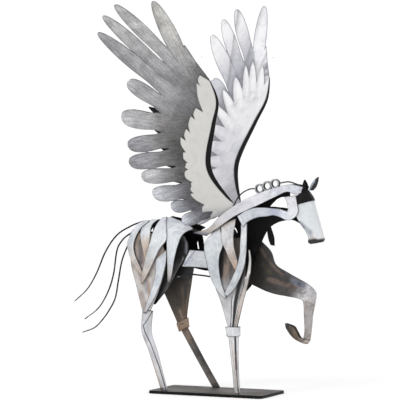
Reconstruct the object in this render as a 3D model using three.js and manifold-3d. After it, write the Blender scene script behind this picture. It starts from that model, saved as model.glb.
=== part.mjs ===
// Winged horse of cut, bent and welded sheet metal, walking on a flat plate.
// Millimetres, +Z up, +X the way the horse faces, origin under the middle of the plate.
// The horse's middle plane is y = 0, its right side is -Y and its left side is +Y.
import * as THREE from 'three';
import { mergeVertices } from 'three/addons/utils/BufferGeometryUtils.js';
import Module from 'manifold-3d';

const wasm = await Module();
wasm.setup();

// Stock
const SHEET = 1.2;
const BAR = 4;
const WIRE = 2.8;
const FIT = 0.3;
const LAP = 0.7;

// Base plate
const PLATE_LENGTH = 248;
const PLATE_WIDTH = 120;
const PLATE_THICKNESS = 6;
const PLATE_CORNER = 8;
const FLOOR = PLATE_THICKNESS + FIT;

// Trunk: the side of the body that the strips are laid over
// Rows: x, top z, belly z, half width
const TRUNK = [
  [-200, 290, 234, 9],
  [-185, 312, 222, 18],
  [-165, 338, 215, 29],
  [-130, 347, 212, 39],
  [-90, 348, 222, 42],
  [-40, 335, 238, 42],
  [10, 336, 246, 40],
  [50, 356, 240, 38],
  [85, 364, 236, 31],
  [112, 352, 250, 17],
];
const ROUNDNESS = 2.5;
const BACK_HALF_WIDTH = 4;
const HOCK_LEVEL = 120;
const HIND_LEG_Y = 38;
const FORE_LEG_Y = 32;

// Wing sheet: its front edge, rows of z, x, distance from the middle plane
const WING_EDGE = [
  [378, 48, 14],
  [435, 22, 55],
  [470, 20, 72],
  [543, 44, 101],
  [591, 59, 122],
  [652, 45, 163],
  [713, 26, 207],
  [780, -12, 265],
];
const WING_SWEEP = 0.33;
const WING_LOW = 322;
const WING_HIGH = 800;
const WING_REAR = -150;
const WING_FRONT = 90;
const WING_SPARE = 10;
const WING_ROOT = 384;
const WRIST_LEVEL = 632;
const EDGE_STRIP_WIDTH = 9.5;

// Long feathers. Rows: tip x, z, base x, z, width
const LONG_FEATHERS = [
  [-12.5, 780, 12, 655, 33],
  [-85, 773, -8, 665, 28],
  [-113, 752, -26, 643, 28],
  [-132, 720, -34, 613, 33],
  [-101, 625, -46, 580, 34],
  [-130, 555, -58, 545, 38],
  [-130, 497, -55, 510, 32],
  [-135, 463, -53, 475, 32],
  [-117, 435, -44, 441, 30],
  [-104, 399, -42, 407, 32],
  [-75, 373, -36, 380, 25],
  [-60, 343, -18, 362, 25],
];
// Points of the palm between the front edge and the feathers, above and below them
const LONG_FEATHERS_ENDS = { high: [[36, 662], [22, 698]], low: [[14, 356], [38, 372]] };

// Lobes of the outer covert. Rows: tip x, z, then the notch below it x, z
const COVERT_LOBES = [
  [36, 638, 33, 617],
  [27, 624, 26, 566],
  [14, 574, 8, 551],
  [1, 558, -7, 525],
  [-12, 534, -18, 509],
  [-27, 516, -23, 486],
  [-29, 482, -23, 465],
  [-28, 461, -25, 452],
  [-34, 441, -22, 426],
  [-26, 419, -25, 403],
  [-31, 400, -10, 381],
  [-17, 366, 3, 368],
];
const COVERT_LOW = [[-6, 353], [20, 360], [40, 373]];
const COVERT_TOP_GAP = 4;
const LOBE_SWELL = 2;

// Fingers of the inner covert. Rows as for the long feathers
const COVERT_FINGERS = [
  [26, 655, 36, 598, 22],
  [-2, 664, 17, 603, 21],
  [-18, 656, 2, 600, 19],
  [-38, 632, -10, 580, 27],
  [-62, 606, -19, 557, 23],
  [-75, 575, -26, 537, 22],
  [-76, 533, -33, 515, 26],
  [-72, 497, -35, 487, 27],
  [-70, 462, -35, 461, 24],
  [-64, 430, -33, 435, 26],
  [-48, 388, -20, 408, 24],
];
const COVERT_FINGERS_ENDS = { low: [[10, 380], [36, 376]] };

// Half widths of a feather along it. Rows: share of the length, share of the width
const FEATHER_STATIONS = [[-0.2, 0.5], [0.02, 0.51], [0.2, 0.45], [0.55, 0.5], [0.82, 0.4], [0.96, 0.2]];
const FINGER_STATIONS = [[-0.2, 0.5], [0, 0.5], [0.25, 0.46], [0.5, 0.39], [0.75, 0.27], [0.9, 0.15]];

// Strips laid over the trunk on both sides. Rows: x, z of one edge, x, z of the other,
// and how deep the strip is set in from its layer
const RUMP_STRIPS = {
  tail_side_strip: { layer: 2, rows: [
    [-150, 341, -138, 341],
    [-172, 332, -151, 330],
    [-187, 319, -162, 314],
    [-191, 300, -168, 295],
    [-183, 280, -165, 278],
    [-175, 265, -157, 263],
    [-162, 249, -149, 250],
    [-148, 234, -142, 237],
  ] },
  croup_blade: { layer: 1, rows: [
    [-147, 342, -121, 345],
    [-151, 332, -128, 338],
    [-154, 323, -130, 330],
    [-153, 313, -129, 319],
    [-150, 302, -129, 306],
    [-146, 290, -131, 291],
    [-143, 278, -134, 279],
    [-140, 266, -137, 266],
  ] },
  croup_crescent: { layer: 3, rows: [
    [-110, 346, -101, 347],
    [-115, 337, -92, 328],
    [-120, 323, -89, 308],
    [-125, 304, -101, 293],
    [-132, 282, -111, 276],
    [-139, 260, -121, 256],
    [-145, 236, -132, 236],
    [-146, 218, -144, 218],
  ] },
  loin_blade: { layer: 2, rows: [
    [-40, 329, -39, 327],
    [-60, 337, -50, 323],
    [-80, 344, -58, 315],
    [-101, 347, -63, 301],
    [-91, 324, -68, 285],
    [-88, 294, -73, 265],
    [-87, 260, -77, 242],
    [-87, 222, -82, 223],
  ] },
};
const SHOULDER_STRIPS = {
  shoulder_leaf: { layer: 1, rows: [
    [0, 316, 21, 336],
    [-7, 304, 28, 321],
    [-7, 288, 33, 303],
    [-4, 270, 25, 279],
    [1, 249, 24, 253],
    [8, 229, 28, 227],
    [20, 209, 34, 210],
    [35, 194, 39, 197],
  ] },
  shoulder_blade: { layer: 2, rows: [
    [23, 336, 55, 351],
    [28, 327, 56, 340],
    [29, 317, 55, 326],
    [32, 305, 55, 311],
    [39, 291, 57, 294],
    [46, 274, 61, 278],
    [53, 261, 64, 266],
    [59, 250, 61, 252],
  ] },
  breast_strip: { layer: 3, rows: [
    [69, 342, 80, 343],
    [70, 326, 81, 326],
    [69, 304, 81, 306],
    [68, 284, 80, 284],
    [63, 261, 77, 260],
    [53, 237, 69, 237],
    [41, 215, 58, 216],
    [37, 205, 42, 199],
  ] },
};
const BELLY_BANDS = {
  right: [
    [-39.5, 289, -56, 256],
    [-20, 288, -28, 256],
    [3, 287, 3, 254],
  ],
  left: [
    [-80, 281.6, -80, 250],
    [-40, 281.6, -40, 243],
    [3, 284, 3, 246],
  ],
};

// Hind legs. Sheets and strips as rows of the trunk's strips
const HOCK_SEAM = 165;
const THIGH_SHEET_RIGHT = [
  [-160, 320, -106, 320],
  [-181, 268, -92, 266],
  [-163, 215, -106, 213],
  [-147, HOCK_SEAM, -128, HOCK_SEAM],
];
const STIFLE_CRESCENT_RIGHT = [
  [-114, 269, -90, 289],
  [-114, 261, -90, 276],
  [-114, 252, -92, 260],
  [-115, 239, -97, 242],
  [-120, 221, -103, 221],
  [-127, 202, -112, 203],
  [-135, 182, -123, 182],
  [-144, 160, -138, 159],
];
const THIGH_SHEET_LEFT = [
  [-160, 320, -100, 320],
  [-158, 268, -84, 266],
  [-136, 222, -82, 224],
  [-114, 192, -88, 192],
];
const STIFLE_CRESCENT_LEFT = [
  [-113, 272, -91, 284],
  [-112, 243, -92, 248],
  [-108, 220, -92, 222],
  [-101, 196, -95, 196],
];
// Two edges of a bent sheet. Points: x, y, z
const THIGH_WALL_REAR = [
  [-100, -14, 322],
  [-112, -14, 280],
  [-120, -16, 230],
  [-131, -36.5, 176],
];
const THIGH_WALL_FRONT = [
  [-54, -36, 316],
  [-43, -41, 297],
  [-49, -41, 275],
  [-66, -41, 250],
  [-86, -40, 215],
  [-118, -36.5, 178],
];
const THIGH_WALL_CROWN = 6;
const SHANK_FOOT_LIFT = 0.2;
const SHANK_LEFT_REAR = [
  [-100, 43, 124],
  [-62, 44, 61],
  [-28, 45, FLOOR + SHANK_FOOT_LIFT],
];
const SHANK_LEFT_FRONT = [
  [-88, 44.4, 130],
  [-51, 46, 66],
  [-15, 48, FLOOR + SHANK_FOOT_LIFT],
];
// Folded sheets. Rows: front x, z, rear x, z, middle y, half width
const SHANK_RIGHT = [
  [-126, HOCK_SEAM - SHEET, -147, HOCK_SEAM - SHEET, -32, 5.5],
  [-128, 122, -147, 122, -34, 6],
  [-113, 80, -130, 82, -36, 5.5],
  [-91, FLOOR, -103, FLOOR, -38, 4.5],
];
const THIGH_INNER_LEFT = [
  [-80, 300, -148, 300, 19, 8],
  [-61, 262, -146, 255, 21, 9],
  [-67, 225, -131, 212, 26, 9],
  [-75, 187, -115, 172, 30, 6.5],
  [-84, 152, -105, 141, 39, 5.5],
  [-84, 141, -103, 131, 40.6, 5.5],
];
const HOCK_BAND_LEFT = [
  [-84, 145, -104, 134, 40, 5.5],
  [-83, 127, -99, 117, 42, 5.5],
];

// Standing right foreleg
const KNEE_TOP = 138;
const KNEE_LOW = 120;
const KNEE_LAP = 5;
const KNEE_Y = -29;
const KNEE_HALF = 8;
const FOREARM_FOOT = KNEE_TOP - 6;
const FOREARM_SHEET = [
  [16, 316, 68, 316, 14],
  [12, 270, 76, 270, 11],
  [12, 225, 73.5, 225, 1.5],
  [26, 185, 60.5, 185],
  [41, FOREARM_FOOT, 49.5, FOREARM_FOOT],
];
const FOREARM_EDGE_STRIP = [
  [84, 292, 86.5, 292],
  [84.5, 268, 89, 268],
  [78.5, 235, 86, 235],
  [64, 187, 73, 187],
  [51.5, FOREARM_FOOT, 59, FOREARM_FOOT],
];
const KNEE_BAND = [
  [63, KNEE_TOP, 37, KNEE_TOP, KNEE_Y, KNEE_HALF],
  [63, KNEE_LOW, 40, KNEE_LOW - 1, KNEE_Y, KNEE_HALF],
];
const CANNON = [
  [61.5, KNEE_LOW + KNEE_LAP, 42, KNEE_LOW + KNEE_LAP, KNEE_Y, KNEE_HALF - LAP],
  [62, 60, 50, 60, -31, 5],
  [65, FLOOR, 56, FLOOR, -32, 4.5],
];

// Raised left foreleg
const FETLOCK = [191, 112, 179, 116, 30, 5];
const HOOF_TOP = [191, 112 - 2 * FIT, 179, 116 - 2 * FIT, 30, 5];
const FORELEG_LEFT = [
  [86, 308, 54, 262, 24, 4],
  [108, 286, 58, 229, 25, 7],
  [118, 260, 86, 213, 27, 9],
  [142, 245, 114, 203, 30, 9],
  [166, 233, 146, 198, 30, 8],
  [188, 222, 167, 195, 30, 8],
  [203, 207, 178, 190, 30, 8],
  [202, 188, 180, 178, 30, 7],
  [197, 165, 180, 160, 30, 6],
  [194, 135, 181, 133, 30, 5],
  FETLOCK,
];
const HOOF_LEFT = [
  HOOF_TOP,
  [183, 104, 170, 116, 30, 5],
  [165, 109, 163, 128, 30, 5],
  [151, 118, 155, 138, 30, 6],
  [140, 132, 138, 144, 30, 4],
];
const CHEST_STRIP_REAR = [[104, 12.2, 336], [107, 13.5, 314], [112, 14, 300]];
const CHEST_STRIP_FRONT = [[113, 11.5, 338], [120, 13, 316], [121, 13.5, 299]];

// Trunk pieces
const FLANK_SHEET = [
  [-82, 282, -82, 322],
  [-64, 282, -64, 324],
  [-46, 282, -49, 320],
];
const FLANK_SLIT = { width: 3.4, height: 24, depth: 30, tilt: -0.15, x: -61, y: 42, z: 298 };
// Rows: x, half width, z
const BACK_BAR = [
  [-148, 9, 340],
  [-130, 14, 343.5],
  [-112, 15.6, 347.5],
  [-90, 17.6, 342.7],
  [-50, 18, 327],
  [-15, 16, 321],
  [12, 12, 332],
  [33.5, 11.8, 367],
];
const BELLY_WIRE = [[-69, -38, 234], [-43, -37, 240], [-15, -38, 239], [5.8, -38.2, 236.8]];
const TAIL_WIRES = [
  [
    [-137, 0, 344.4],
    [-150, 0, 342.6],
    [-165, 0, 341],
    [-190, 0, 332],
    [-222, 0, 313],
    [-248, 0, 279],
    [-269, 0, 234],
    [-290, 0, 201],
    [-319, 0, 175],
  ],
  [
    [-172, -5.5, 328.5],
    [-187, -6, 318.3],
    [-204, -7, 306],
    [-219, -5, 285],
    [-228, -5, 233],
    [-240, -5, 198],
    [-261, -6, 164],
    [-293, -6, 139.5],
  ],
  [
    [-190, -9.9, 300],
    [-207, -8, 262],
    [-215, -9, 220],
    [-222, -10, 184],
    [-236, -10, 159],
    [-252, -10, 138.5],
    [-269, -10, 123],
    [-296, -10, 112.6],
  ],
];

// Neck. Points: x, distance from the middle plane, z
const MANE_STRIP_TOP = [
  [-36, 34, 323],
  [-3, 33, 333],
  [18, 25.5, 356],
  [49, 16, 380],
  [94, 14, 402],
  [142, 10, 418],
  [170, 12.5, 422],
  [194, 15, 418],
];
const MANE_STRIP_LOW = [
  [-4, 39, 318],
  [23, 36, 337],
  [55, 31, 359],
  [95, 24, 378],
  [137, 20, 398],
  [160, 16, 408],
  [177, 15, 403],
  [190, 15, 406],
];
const CHEEK_STRIP_TOP = [
  [61, 35, 359],
  [66, 32, 362],
  [77, 29, 369],
  [93, 25, 375],
  [113, 21.5, 376],
  [129, 19, 375],
  [144, 17.8, 374],
  [155, 17.3, 371],
  [161, 17.3, 370.5],
  [163, 17.3, 374],
  [162, 17.3, 380],
  [160, 17.3, 388],
  [156, 17.3, 398],
];
const CHEEK_STRIP_LOW = [
  [75, 38, 337],
  [82, 36, 346],
  [90, 32, 352],
  [103, 27, 357],
  [120, 22.5, 359],
  [132, 19.5, 361],
  [145, 17.8, 358],
  [157, 17.3, 353],
  [169, 17.3, 353],
  [180, 17.3, 360],
  [185, 17.3, 371],
  [183, 17.8, 382],
  [180, 18, 401],
];
const THROAT_STRIP_REAR = [
  [50, 16, 240], [38, 16.5, 270], [34, 16, 310], [52, 14, 340],
  [66, 12.5, 357], [98, 10.5, 357], [140, 10, 361],
];
const THROAT_STRIP_FRONT = [
  [60, 16, 236], [78, 15, 270], [93, 14, 306], [103, 11.8, 324],
  [112, 10, 335], [130, 10, 346], [159, 10, 353],
];
// Crest between the mane strips. Rows: x, half width, z
const CREST = [
  [36, 10, 372],
  [52, 11, 382],
  [94, 12.9, 401],
  [137, 9.4, 414],
  [176, 7, 418],
];

// Plate in the middle plane under the crest. Rows: x, lower edge z
const NECK_PLATE = [
  [54, 363],
  [78, 370],
  [99, 372],
  [113, 375],
  [125, 386],
  [138, 396],
  [160, 397],
];
const NECK_PLATE_GAP = SHEET / 2 + 2 * FIT;

// Curled mane: rolled rings on a wire over the crest
const CURL_RADIUS = 9.7;
const CURL_WALL = 2.4;
const CURL_WIDTH = 8;
const CURL_COUNT = 3;
const CURL_OVERLAP = 2.2;
const FIRST_CURL_X = 98;
const CURL_WIRE_REAR = [[38, 0, 376], [43, 0, 388], [55, 0, 402], [72, 0, 411]];
const CURL_WIRE_FRONT = [[156, 0, 427], [170, 0, 424], [182, 0, 419.5]];

// Head: a folded shell open behind and at the muzzle. Rows as for a folded sheet
const HEAD = [
  [196, 410, 182, 402, 0, 11],
  [207, 395, 179, 387, 0, 14],
  [215, 372, 179, 362, 0, 14],
  [221, 354, 187, 346, 0, 12.5],
  [226, 338, 197, 332, 0, 10.5],
  [231, 322, 203, 318, 0, 9],
  [233, 315, 203, 309, 0, 9.5],
  [230, 310, 208, 305.5, 0, 7.5],
];
const HEAD_SHAPE = { steps: 12, across: 6, square: 0.6 };
const CAP_STEPS = 2;
// Rows: x, half width, z
const JAW = [[160, 16, 354], [174, 15.8, 352.5], [185, 11, 347]];
const EAR_WIDTH = 12;
const EAR_Y = 9;
const EAR_CUP = 3;
const EAR_BASE_SLOPE = 0.55;
// Rows: share of the length, share of the width
const EAR_SHAPE = [[0, 0.8], [0.35, 1], [0.7, 0.7], [1, 0.12]];
const EARS = {
  right: { base: [197, 411.3], tip: [195, 432] },
  left: { base: [201.5, 411], tip: [217, 437] },
};

const SIDE = { right: -1, left: 1 };

const MATERIALS = {
  patina: new THREE.MeshStandardMaterial({ color: 0xd9dde0, roughness: 0.55, metalness: 0.35 }),
  brushed: new THREE.MeshStandardMaterial({ color: 0x97989c, roughness: 0.42, metalness: 0.8 }),
  cream: new THREE.MeshStandardMaterial({ color: 0xdcdcd2, roughness: 0.65, metalness: 0.15 }),
  pearl: new THREE.MeshStandardMaterial({ color: 0xdcdce4, roughness: 0.6, metalness: 0.2 }),
  black: new THREE.MeshStandardMaterial({ color: 0x0d0d0d, roughness: 0.5, metalness: 0.4 }),
  raw: new THREE.MeshStandardMaterial({ color: 0x5a524b, roughness: 0.5, metalness: 0.6 }),
  rust: new THREE.MeshStandardMaterial({ color: 0x96785f, roughness: 0.6, metalness: 0.4 }),
  wire: new THREE.MeshStandardMaterial({ color: 0x3a3a3c, roughness: 0.4, metalness: 0.8 }),
  plate: new THREE.MeshStandardMaterial({ color: 0x4f4a47, roughness: 0.6, metalness: 0.4 }),
};

const model = new THREE.Group();
model.name = 'winged_horse';

function addPiece(name, geometry, material) {
  const mesh = new THREE.Mesh(geometry, MATERIALS[material].clone());
  mesh.name = name;
  model.add(mesh);
}

// Interpolation of rows [key, value, value, ...], smooth through every row
function smoothRow(rows, key) {
  const last = rows.length - 1;
  let i = 0;
  while (i < last - 1 && key > rows[i + 1][0]) {
    i += 1;
  }
  const slope = (k, c) => {
    const a = rows[Math.max(k - 1, 0)];
    const b = rows[Math.min(k + 1, last)];
    return (b[c] - a[c]) / (b[0] - a[0]);
  };
  const from = rows[i];
  const to = rows[i + 1];
  const gap = to[0] - from[0];
  const t = (key - from[0]) / gap;
  return from.map((_, c) => {
    if (t < 0) return from[c] + slope(i, c) * (key - from[0]);
    if (t > 1) return to[c] + slope(i + 1, c) * (key - to[0]);
    const start = from[c] * (1 + 2 * t) * (1 - t) ** 2 + slope(i, c) * gap * t * (1 - t) ** 2;
    const end = to[c] * t * t * (3 - 2 * t) - slope(i + 1, c) * gap * t * t * (1 - t);
    return start + end;
  });
}

// Points spread evenly along a smooth curve through rows of plain numbers
function sampleRows(rows, steps) {
  const keyed = rows.map((row, i) => [i, ...row]);
  const samples = [];
  for (let i = 0; i <= steps; i += 1) {
    samples.push(smoothRow(keyed, (i * (rows.length - 1)) / steps).slice(1));
  }
  return samples;
}

// Closed bodies
function bodyFrom(positions, triangles) {
  let volume = 0;
  const a = new THREE.Vector3();
  for (let i = 0; i < triangles.length; i += 3) {
    const [p, q, r] = [0, 1, 2].map((k) => positions[triangles[i + k]]);
    volume += a.crossVectors(q, r).dot(p);
  }
  const order = volume < 0 ? [0, 2, 1] : [0, 1, 2];
  const index = [];
  for (let i = 0; i < triangles.length; i += 3) {
    order.forEach((k) => index.push(triangles[i + k]));
  }
  const geometry = new THREE.BufferGeometry();
  const flat = positions.flatMap((p) => [p.x, p.y, p.z]);
  geometry.setAttribute('position', new THREE.Float32BufferAttribute(flat, 3));
  geometry.setIndex(index);
  return geometry;
}

// A bent sheet: a grid of points on its middle surface, thickened to both sides
function sheet(grid, thickness = SHEET) {
  const rows = grid.length;
  const columns = grid[0].length;
  const tangent = (r0, c0, r1, c1) => grid[r1][c1].clone().sub(grid[r0][c0]).normalize();
  const faces = [[], []];
  for (let r = 0; r < rows; r += 1) {
    for (let c = 0; c < columns; c += 1) {
      const along = tangent(Math.max(r - 1, 0), c, Math.min(r + 1, rows - 1), c);
      const across = tangent(r, Math.max(c - 1, 0), r, Math.min(c + 1, columns - 1));
      const normal = along.cross(across).normalize();
      faces[0].push(grid[r][c].clone().addScaledVector(normal, thickness / 2));
      faces[1].push(grid[r][c].clone().addScaledVector(normal, -thickness / 2));
    }
  }
  const count = rows * columns;
  const at = (side, r, c) => side * count + r * columns + c;
  const triangles = [];
  const quad = (p, q, s, t) => triangles.push(p, q, s, p, s, t);
  for (let r = 0; r < rows - 1; r += 1) {
    for (let c = 0; c < columns - 1; c += 1) {
      quad(at(0, r, c), at(0, r + 1, c), at(0, r + 1, c + 1), at(0, r, c + 1));
      quad(at(1, r, c), at(1, r, c + 1), at(1, r + 1, c + 1), at(1, r + 1, c));
    }
    const far = columns - 1;
    quad(at(0, r, 0), at(1, r, 0), at(1, r + 1, 0), at(0, r + 1, 0));
    quad(at(0, r, far), at(0, r + 1, far), at(1, r + 1, far), at(1, r, far));
  }
  for (let c = 0; c < columns - 1; c += 1) {
    const end = rows - 1;
    quad(at(0, 0, c), at(0, 0, c + 1), at(1, 0, c + 1), at(1, 0, c));
    quad(at(0, end, c), at(1, end, c), at(1, end, c + 1), at(0, end, c + 1));
  }
  return bodyFrom([...faces[0], ...faces[1]], triangles);
}

function solidOf(geometry) {
  const plain = geometry.clone();
  plain.deleteAttribute('normal');
  plain.deleteAttribute('uv');
  const merged = mergeVertices(plain, 1e-4);
  const vertProperties = Float32Array.from(merged.attributes.position.array);
  const triVerts = Uint32Array.from(merged.index.array);
  return new wasm.Manifold(new wasm.Mesh({ numProp: 3, vertProperties, triVerts }));
}

function geometryOf(solid) {
  const mesh = solid.getMesh();
  const geometry = new THREE.BufferGeometry();
  geometry.setAttribute('position', new THREE.BufferAttribute(mesh.vertProperties, 3));
  geometry.setIndex(new THREE.BufferAttribute(mesh.triVerts, 1));
  return geometry;
}

function joined(geometries) {
  return geometries.map(solidOf).reduce((whole, next) => whole.add(next));
}

function mirrored(geometry) {
  const copy = geometry.clone();
  copy.scale(1, -1, 1);
  const index = Array.from(copy.index.array);
  const turned = index.map((_, i) => index[i % 3 === 0 ? i : i + 3 - 2 * (i % 3)]);
  copy.setIndex(turned);
  return copy;
}

// Round wire along points
function wire(points, steps, diameter = WIRE, sides = 5) {
  const section = new THREE.Shape();
  for (let i = 0; i < sides; i += 1) {
    const angle = (2 * Math.PI * i) / sides;
    const place = [Math.cos(angle) * diameter / 2, Math.sin(angle) * diameter / 2];
    if (i === 0) section.moveTo(...place);
    else section.lineTo(...place);
  }
  section.closePath();
  const path = new THREE.CatmullRomCurve3(points.map((p) => new THREE.Vector3(...p)), false, 'centripetal');
  return new THREE.ExtrudeGeometry(section, { steps, extrudePath: path, bevelEnabled: false });
}

// The body's side surface
function trunkY(x, z) {
  const [, top, low, half] = smoothRow(TRUNK, x);
  const middle = (top + low) / 2;
  if (z > middle) {
    const height = Math.min((z - middle) / (top - middle), 1);
    return Math.max(half * (1 - height ** ROUNDNESS) ** (1 / ROUNDNESS), BACK_HALF_WIDTH);
  }
  const legY = x < 0 ? HIND_LEG_Y : FORE_LEG_Y;
  const down = THREE.MathUtils.smoothstep(middle - z, 0, middle - HOCK_LEVEL);
  return half + (legY - half) * down;
}

function onTrunk(x, z, out, side) {
  const step = 2;
  const slopeX = (trunkY(x + step, z) - trunkY(x - step, z)) / (2 * step);
  const slopeZ = (trunkY(x, z + step) - trunkY(x, z - step)) / (2 * step);
  const normal = new THREE.Vector3(-slopeX, 1, -slopeZ).normalize();
  const point = new THREE.Vector3(x, trunkY(x, z), z).addScaledVector(normal, out);
  point.y *= side;
  return point;
}

const layerOut = (layer) => layer * (SHEET + LAP);

// A strip on the body's side between two edges, with rows as for the trunk's strips
function skinStrip(rows, layer, side, { steps = 7, across = 2 } = {}) {
  const full = rows.map(([ax, az, bx, bz, inset = 0]) => [ax, az, bx, bz, inset]);
  return sheet(sampleRows(full, steps).map(([ax, az, bx, bz, inset]) => {
    const row = [];
    for (let c = 0; c <= across; c += 1) {
      const t = c / across;
      row.push(onTrunk(ax + (bx - ax) * t, az + (bz - az) * t, layerOut(layer) - inset, side));
    }
    return row;
  }));
}

// A strip between two edges, each through points [x, y, z], bowed outwards by a crown
function ruledStrip(edgeA, edgeB, { steps = 8, across = 2, crown = 0, thickness = SHEET, side = 1 } = {}) {
  const a = sampleRows(edgeA, steps);
  const b = sampleRows(edgeB, steps);
  return sheet(a.map((p, i) => {
    const row = [];
    for (let c = 0; c <= across; c += 1) {
      const t = c / across;
      const [x, y, z] = p.map((value, k) => value + (b[i][k] - value) * t);
      row.push(new THREE.Vector3(x, side * (y + crown * 4 * t * (1 - t)), z));
    }
    return row;
  }), thickness);
}

// A sheet folded round the front of a leg or face, open behind, with rows as for folded sheets
function channel(rows, { steps = 7, across = 4, square = 1, grow = 0, keep = steps } = {}) {
  return sheet(sampleRows(rows, steps).slice(0, keep + 1).map(([frontX, frontZ, rearX, rearZ, y, half]) => {
    const stretch = 1 + grow / Math.hypot(frontX - rearX, frontZ - rearZ);
    const row = [];
    for (let c = 0; c <= across; c += 1) {
      const angle = (c / across - 0.5) * Math.PI;
      const depth = Math.max(Math.cos(angle), 0) ** square * stretch;
      const lateral = Math.sign(angle) * Math.abs(Math.sin(angle)) ** square * (half + grow);
      row.push(new THREE.Vector3(
        rearX + (frontX - rearX) * depth,
        y + lateral,
        rearZ + (frontZ - rearZ) * depth,
      ));
    }
    return row;
  }));
}

// A strip across the middle plane. Rows: x, half width, z
function levelStrip(rows, options) {
  return ruledStrip(rows.map(([x, y, z]) => [x, -y, z]), rows, options);
}

// Wing sheet
function wingPoint(x, z, out) {
  const place = (px, pz) => {
    const [, edgeX, edgeY] = smoothRow(WING_EDGE, pz);
    return new THREE.Vector3(px, -(edgeY + WING_SWEEP * (edgeX - px)), pz);
  };
  const step = 2;
  const along = place(x, z + step).sub(place(x, z - step));
  const across = place(x + step, z).sub(place(x - step, z));
  const normal = across.cross(along).normalize();
  return place(x, z).addScaledVector(normal, out);
}

function wingSlab(layer, steps = 11) {
  const grid = [];
  for (let r = 0; r <= steps; r += 1) {
    const z = WING_LOW + ((WING_HIGH - WING_LOW) * r) / steps;
    grid.push([WING_REAR, WING_FRONT].map((x) => wingPoint(x, z, layerOut(layer))));
  }
  return solidOf(sheet(grid));
}

// An outline in the side plane, as a prism through the right wing sheet
function prism(points) {
  const reach = WING_EDGE[WING_EDGE.length - 1][2] + WING_SWEEP * (WING_FRONT - WING_REAR);
  const shape = new THREE.Shape(points.map(([x, z]) => new THREE.Vector2(x, z)));
  const geometry = new THREE.ExtrudeGeometry(shape, { depth: reach, bevelEnabled: false });
  geometry.rotateX(Math.PI / 2);
  geometry.translate(0, WING_SPARE, 0);
  return geometry;
}

// A feather's outline, from its base to its tip
function featherOutline([tipX, tipZ, baseX, baseZ, width], stations) {
  const length = Math.hypot(tipX - baseX, tipZ - baseZ);
  const along = [(tipX - baseX) / length, (tipZ - baseZ) / length];
  const place = ([t, half], sign) => [
    baseX + along[0] * t * length - along[1] * half * width * sign,
    baseZ + along[1] * t * length + along[0] * half * width * sign,
  ];
  return [
    ...stations.map((s) => place(s, 1)),
    [tipX, tipZ],
    ...stations.map((s) => place(s, -1)).reverse(),
  ];
}

function stripWidth(z) {
  const t = THREE.MathUtils.clamp((z - WING_ROOT) / (WRIST_LEVEL - WING_ROOT), 0, 1);
  return EDGE_STRIP_WIDTH * Math.max(Math.sin(Math.PI * t ** 0.65), 0) ** 0.8;
}

// Points along the wing's front edge, set back from it
function frontEdge(toZ, setBack, steps = 12) {
  const points = [];
  for (let i = 0; i <= steps; i += 1) {
    const z = WING_ROOT + ((toZ - WING_ROOT) * i) / steps;
    points.push([smoothRow(WING_EDGE, z)[1] - setBack(z), z]);
  }
  return points;
}

function behindEdgeStrip(z) {
  return stripWidth(z) + FIT;
}

function featheredPlate(feathers, stations, layer, { low, high = [] }) {
  const palm = [
    ...frontEdge(WRIST_LEVEL, behindEdgeStrip),
    ...high,
    ...feathers.map(([, , x, z]) => [x, z]),
    ...low,
  ];
  const outline = joined([prism(palm), ...feathers.map((row) => prism(featherOutline(row, stations)))]);
  return geometryOf(outline.intersect(wingSlab(layer)));
}

function scallopedPlate(lobes, layer, low) {
  const points = frontEdge(WRIST_LEVEL - COVERT_TOP_GAP, behindEdgeStrip);
  let [x, z] = points[points.length - 1];
  for (const [tipX, tipZ, notchX, notchZ] of lobes) {
    points.push([(x + tipX) / 2 - LOBE_SWELL, (z + tipZ) / 2 + LOBE_SWELL], [tipX, tipZ]);
    points.push([(tipX + notchX) / 2 - 2 * LOBE_SWELL, (tipZ + notchZ) / 2], [notchX, notchZ]);
    [x, z] = [notchX, notchZ];
  }
  return geometryOf(solidOf(prism([...points, ...low])).intersect(wingSlab(layer)));
}

function edgeStrip(layer) {
  const front = frontEdge(WRIST_LEVEL, () => 0);
  const rear = frontEdge(WRIST_LEVEL, stripWidth).reverse().slice(1, -1);
  return geometryOf(solidOf(prism([...front, ...rear])).intersect(wingSlab(layer)));
}

// Base plate
{
  const outline = new THREE.Shape();
  const x = PLATE_LENGTH / 2;
  const y = PLATE_WIDTH / 2;
  const r = PLATE_CORNER;
  outline.moveTo(-x + r, -y);
  outline.lineTo(x - r, -y);
  outline.absarc(x - r, -y + r, r, -Math.PI / 2, 0);
  outline.lineTo(x, y - r);
  outline.absarc(x - r, y - r, r, 0, Math.PI / 2);
  outline.lineTo(-x + r, y);
  outline.absarc(-x + r, y - r, r, Math.PI / 2, Math.PI);
  outline.lineTo(-x, -y + r);
  outline.absarc(-x + r, -y + r, r, Math.PI, 1.5 * Math.PI);
  const geometry = new THREE.ExtrudeGeometry(outline, {
    depth: PLATE_THICKNESS, bevelEnabled: false, curveSegments: 4,
  });
  addPiece('base_plate', geometry, 'plate');
}

// Hindquarters
for (const [sideName, side] of Object.entries(SIDE)) {
  for (const [name, { layer, rows }] of Object.entries(RUMP_STRIPS)) {
    addPiece(`${name}_${sideName}`, skinStrip(rows, layer, side), 'patina');
  }
}
addPiece('thigh_sheet_right', skinStrip(THIGH_SHEET_RIGHT, 0, SIDE.right, { across: 4 }), 'raw');
addPiece('stifle_crescent_right', skinStrip(STIFLE_CRESCENT_RIGHT, 1, SIDE.right), 'patina');
addPiece('thigh_sheet_left', skinStrip(THIGH_SHEET_LEFT, 0, SIDE.left, { across: 4 }), 'raw');
addPiece('stifle_crescent_left', skinStrip(STIFLE_CRESCENT_LEFT, 1, SIDE.left), 'patina');

// Inner wall of the right thigh, curling forward to the flank
const thighWallShape = { crown: THIGH_WALL_CROWN, across: 3 };
addPiece('thigh_inner_wall_right', ruledStrip(THIGH_WALL_REAR, THIGH_WALL_FRONT, thighWallShape), 'black');
addPiece('shank_right_hind', channel(SHANK_RIGHT), 'patina');

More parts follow.
